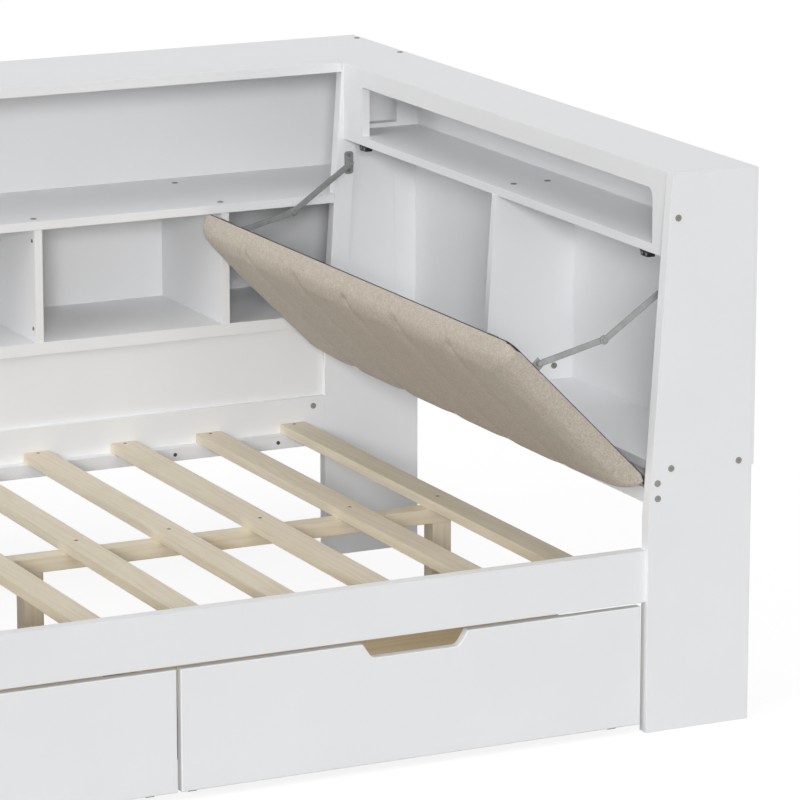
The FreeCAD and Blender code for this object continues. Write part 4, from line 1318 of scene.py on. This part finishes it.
@dataclass
class Studio:
    """Plain pale floor, white surround, soft light and the camera at the photo's angle."""

    sky_light: float = 0.36
    floor_albedo: float = 0.50
    floor_seen: float = 0.20
    floor_lift: float = 0.86
    floor_half: float = 60.0
    floor_drop: float = 0.2 * MM
    lamps: tuple[Lamp, ...] = (
        Lamp("front_light", (-0.405, -0.885, 0.220), 1.14, 9.0),
        Lamp("side_light", (-0.92, -0.26, 0.28), 0.93, 50.0),
        Lamp("top_light", (-0.15, -0.25, 0.95), 0.92, 80.0))
    camera_place: tuple[float, float, float] = (-3.3676, -8.4668, 2.6993)
    camera_yaw: float = 26.0237
    camera_pitch: float = 13.3093
    camera_lens: float = 215.62
    camera_sensor: float = 36.0
    camera_reach: float = 200.0

    def build(self) -> None:
        """Make the surround, the floor, the lamps and the camera."""
        self._surround()
        self._floor()
        for lamp in self.lamps:
            lamp.build()
        self._camera()

    def _seen(self, sheet: NodeSheet) -> bpy.types.NodeSocket:
        """Pick out the rays that show the background to the eye, in metal or through glass.

        Args:
            sheet: Node sheet of the background.

        Returns:
            1 for those rays and 0 for others.
        """
        path = sheet.add("LightPath")
        first = sheet.math("MAXIMUM", path.outputs["Is Camera Ray"], path.outputs["Is Glossy Ray"])
        return sheet.math("MAXIMUM", first, path.outputs["Is Transmission Ray"])

    def _surround(self) -> None:
        """White world that lights softly."""
        world = bpy.data.worlds.new("white_surround")
        bpy.context.scene.world = world
        world.use_nodes = True
        sheet = NodeSheet(world.node_tree)
        shade = next(node for node in world.node_tree.nodes if node.type == "BACKGROUND")
        shade.inputs["Color"].default_value = (1.0, 1.0, 1.0, 1.0)
        seen = self._seen(sheet)
        sheet.feed(shade.inputs["Strength"], sheet.remap(seen, (0.0, 1.0), (self.sky_light, 1.0)))

    def _floor(self) -> None:
        """Large white floor that keeps the object's shadow."""
        form = bmesh.new()
        bmesh.ops.create_grid(form, x_segments=1, y_segments=1, size=self.floor_half)
        mesh = bpy.data.meshes.new("studio_floor")
        form.to_mesh(mesh)
        form.free()
        sheet, shader, material = new_material("studio_floor")
        shader.inputs["Roughness"].default_value = 1.0
        shader.inputs["Specular IOR Level"].default_value = 0.0
        shader.inputs["Emission Color"].default_value = (1.0, 1.0, 1.0, 1.0)
        seen = self._seen(sheet)
        colour = sheet.blend(seen, (self.floor_albedo,) * 3, (self.floor_seen,) * 3)
        sheet.feed(shader.inputs["Base Color"], colour)
        sheet.feed(shader.inputs["Emission Strength"], sheet.math("MULTIPLY", seen, self.floor_lift))
        floor = add_piece("studio_floor", mesh, material)
        floor.location.z = -self.floor_drop

    def _camera(self) -> None:
        """Long lens at the photo's viewing angle."""
        data = bpy.data.cameras.new("photo_camera")
        data.lens = self.camera_lens
        data.sensor_width = self.camera_sensor
        data.clip_end = self.camera_reach
        camera = bpy.data.objects.new("photo_camera", data)
        bpy.context.scene.collection.objects.link(camera)
        camera.location = self.camera_place
        tilt, turn = math.radians(90.0 - self.camera_pitch), -math.radians(self.camera_yaw)
        camera.rotation_euler = (tilt, 0.0, turn)
        bpy.context.scene.camera = camera


def main() -> None:
    """Build the sub-assemblies in order and report each piece."""
    logging.basicConfig(level=logging.INFO, format="%(name)s: %(message)s")
    bpy.context.scene.view_settings.view_transform = "Standard"
    finishes = Finishes()
    drawers = [RollingDrawer(finishes, side) for side in ("left", "right")]
    cases = [EndBookcase(finishes), BackBookcase(finishes), BedBase(finishes)]
    for assembly in (*cases, *drawers, Fittings(finishes)):
        for node in assembly.dress():
            LOG.info("%s: %s", assembly.name, node)
    catches = MagnetCatches(finishes).build()
    LOG.info("catches: %s", catches.name)
    flap = PaddedFlap(finishes)
    for node in flap.dress():
        LOG.info("flap: %s", node)
    LOG.info("flap: %s", flap.build().name)
    Studio().build()


if __name__ == "__main__":
    main()
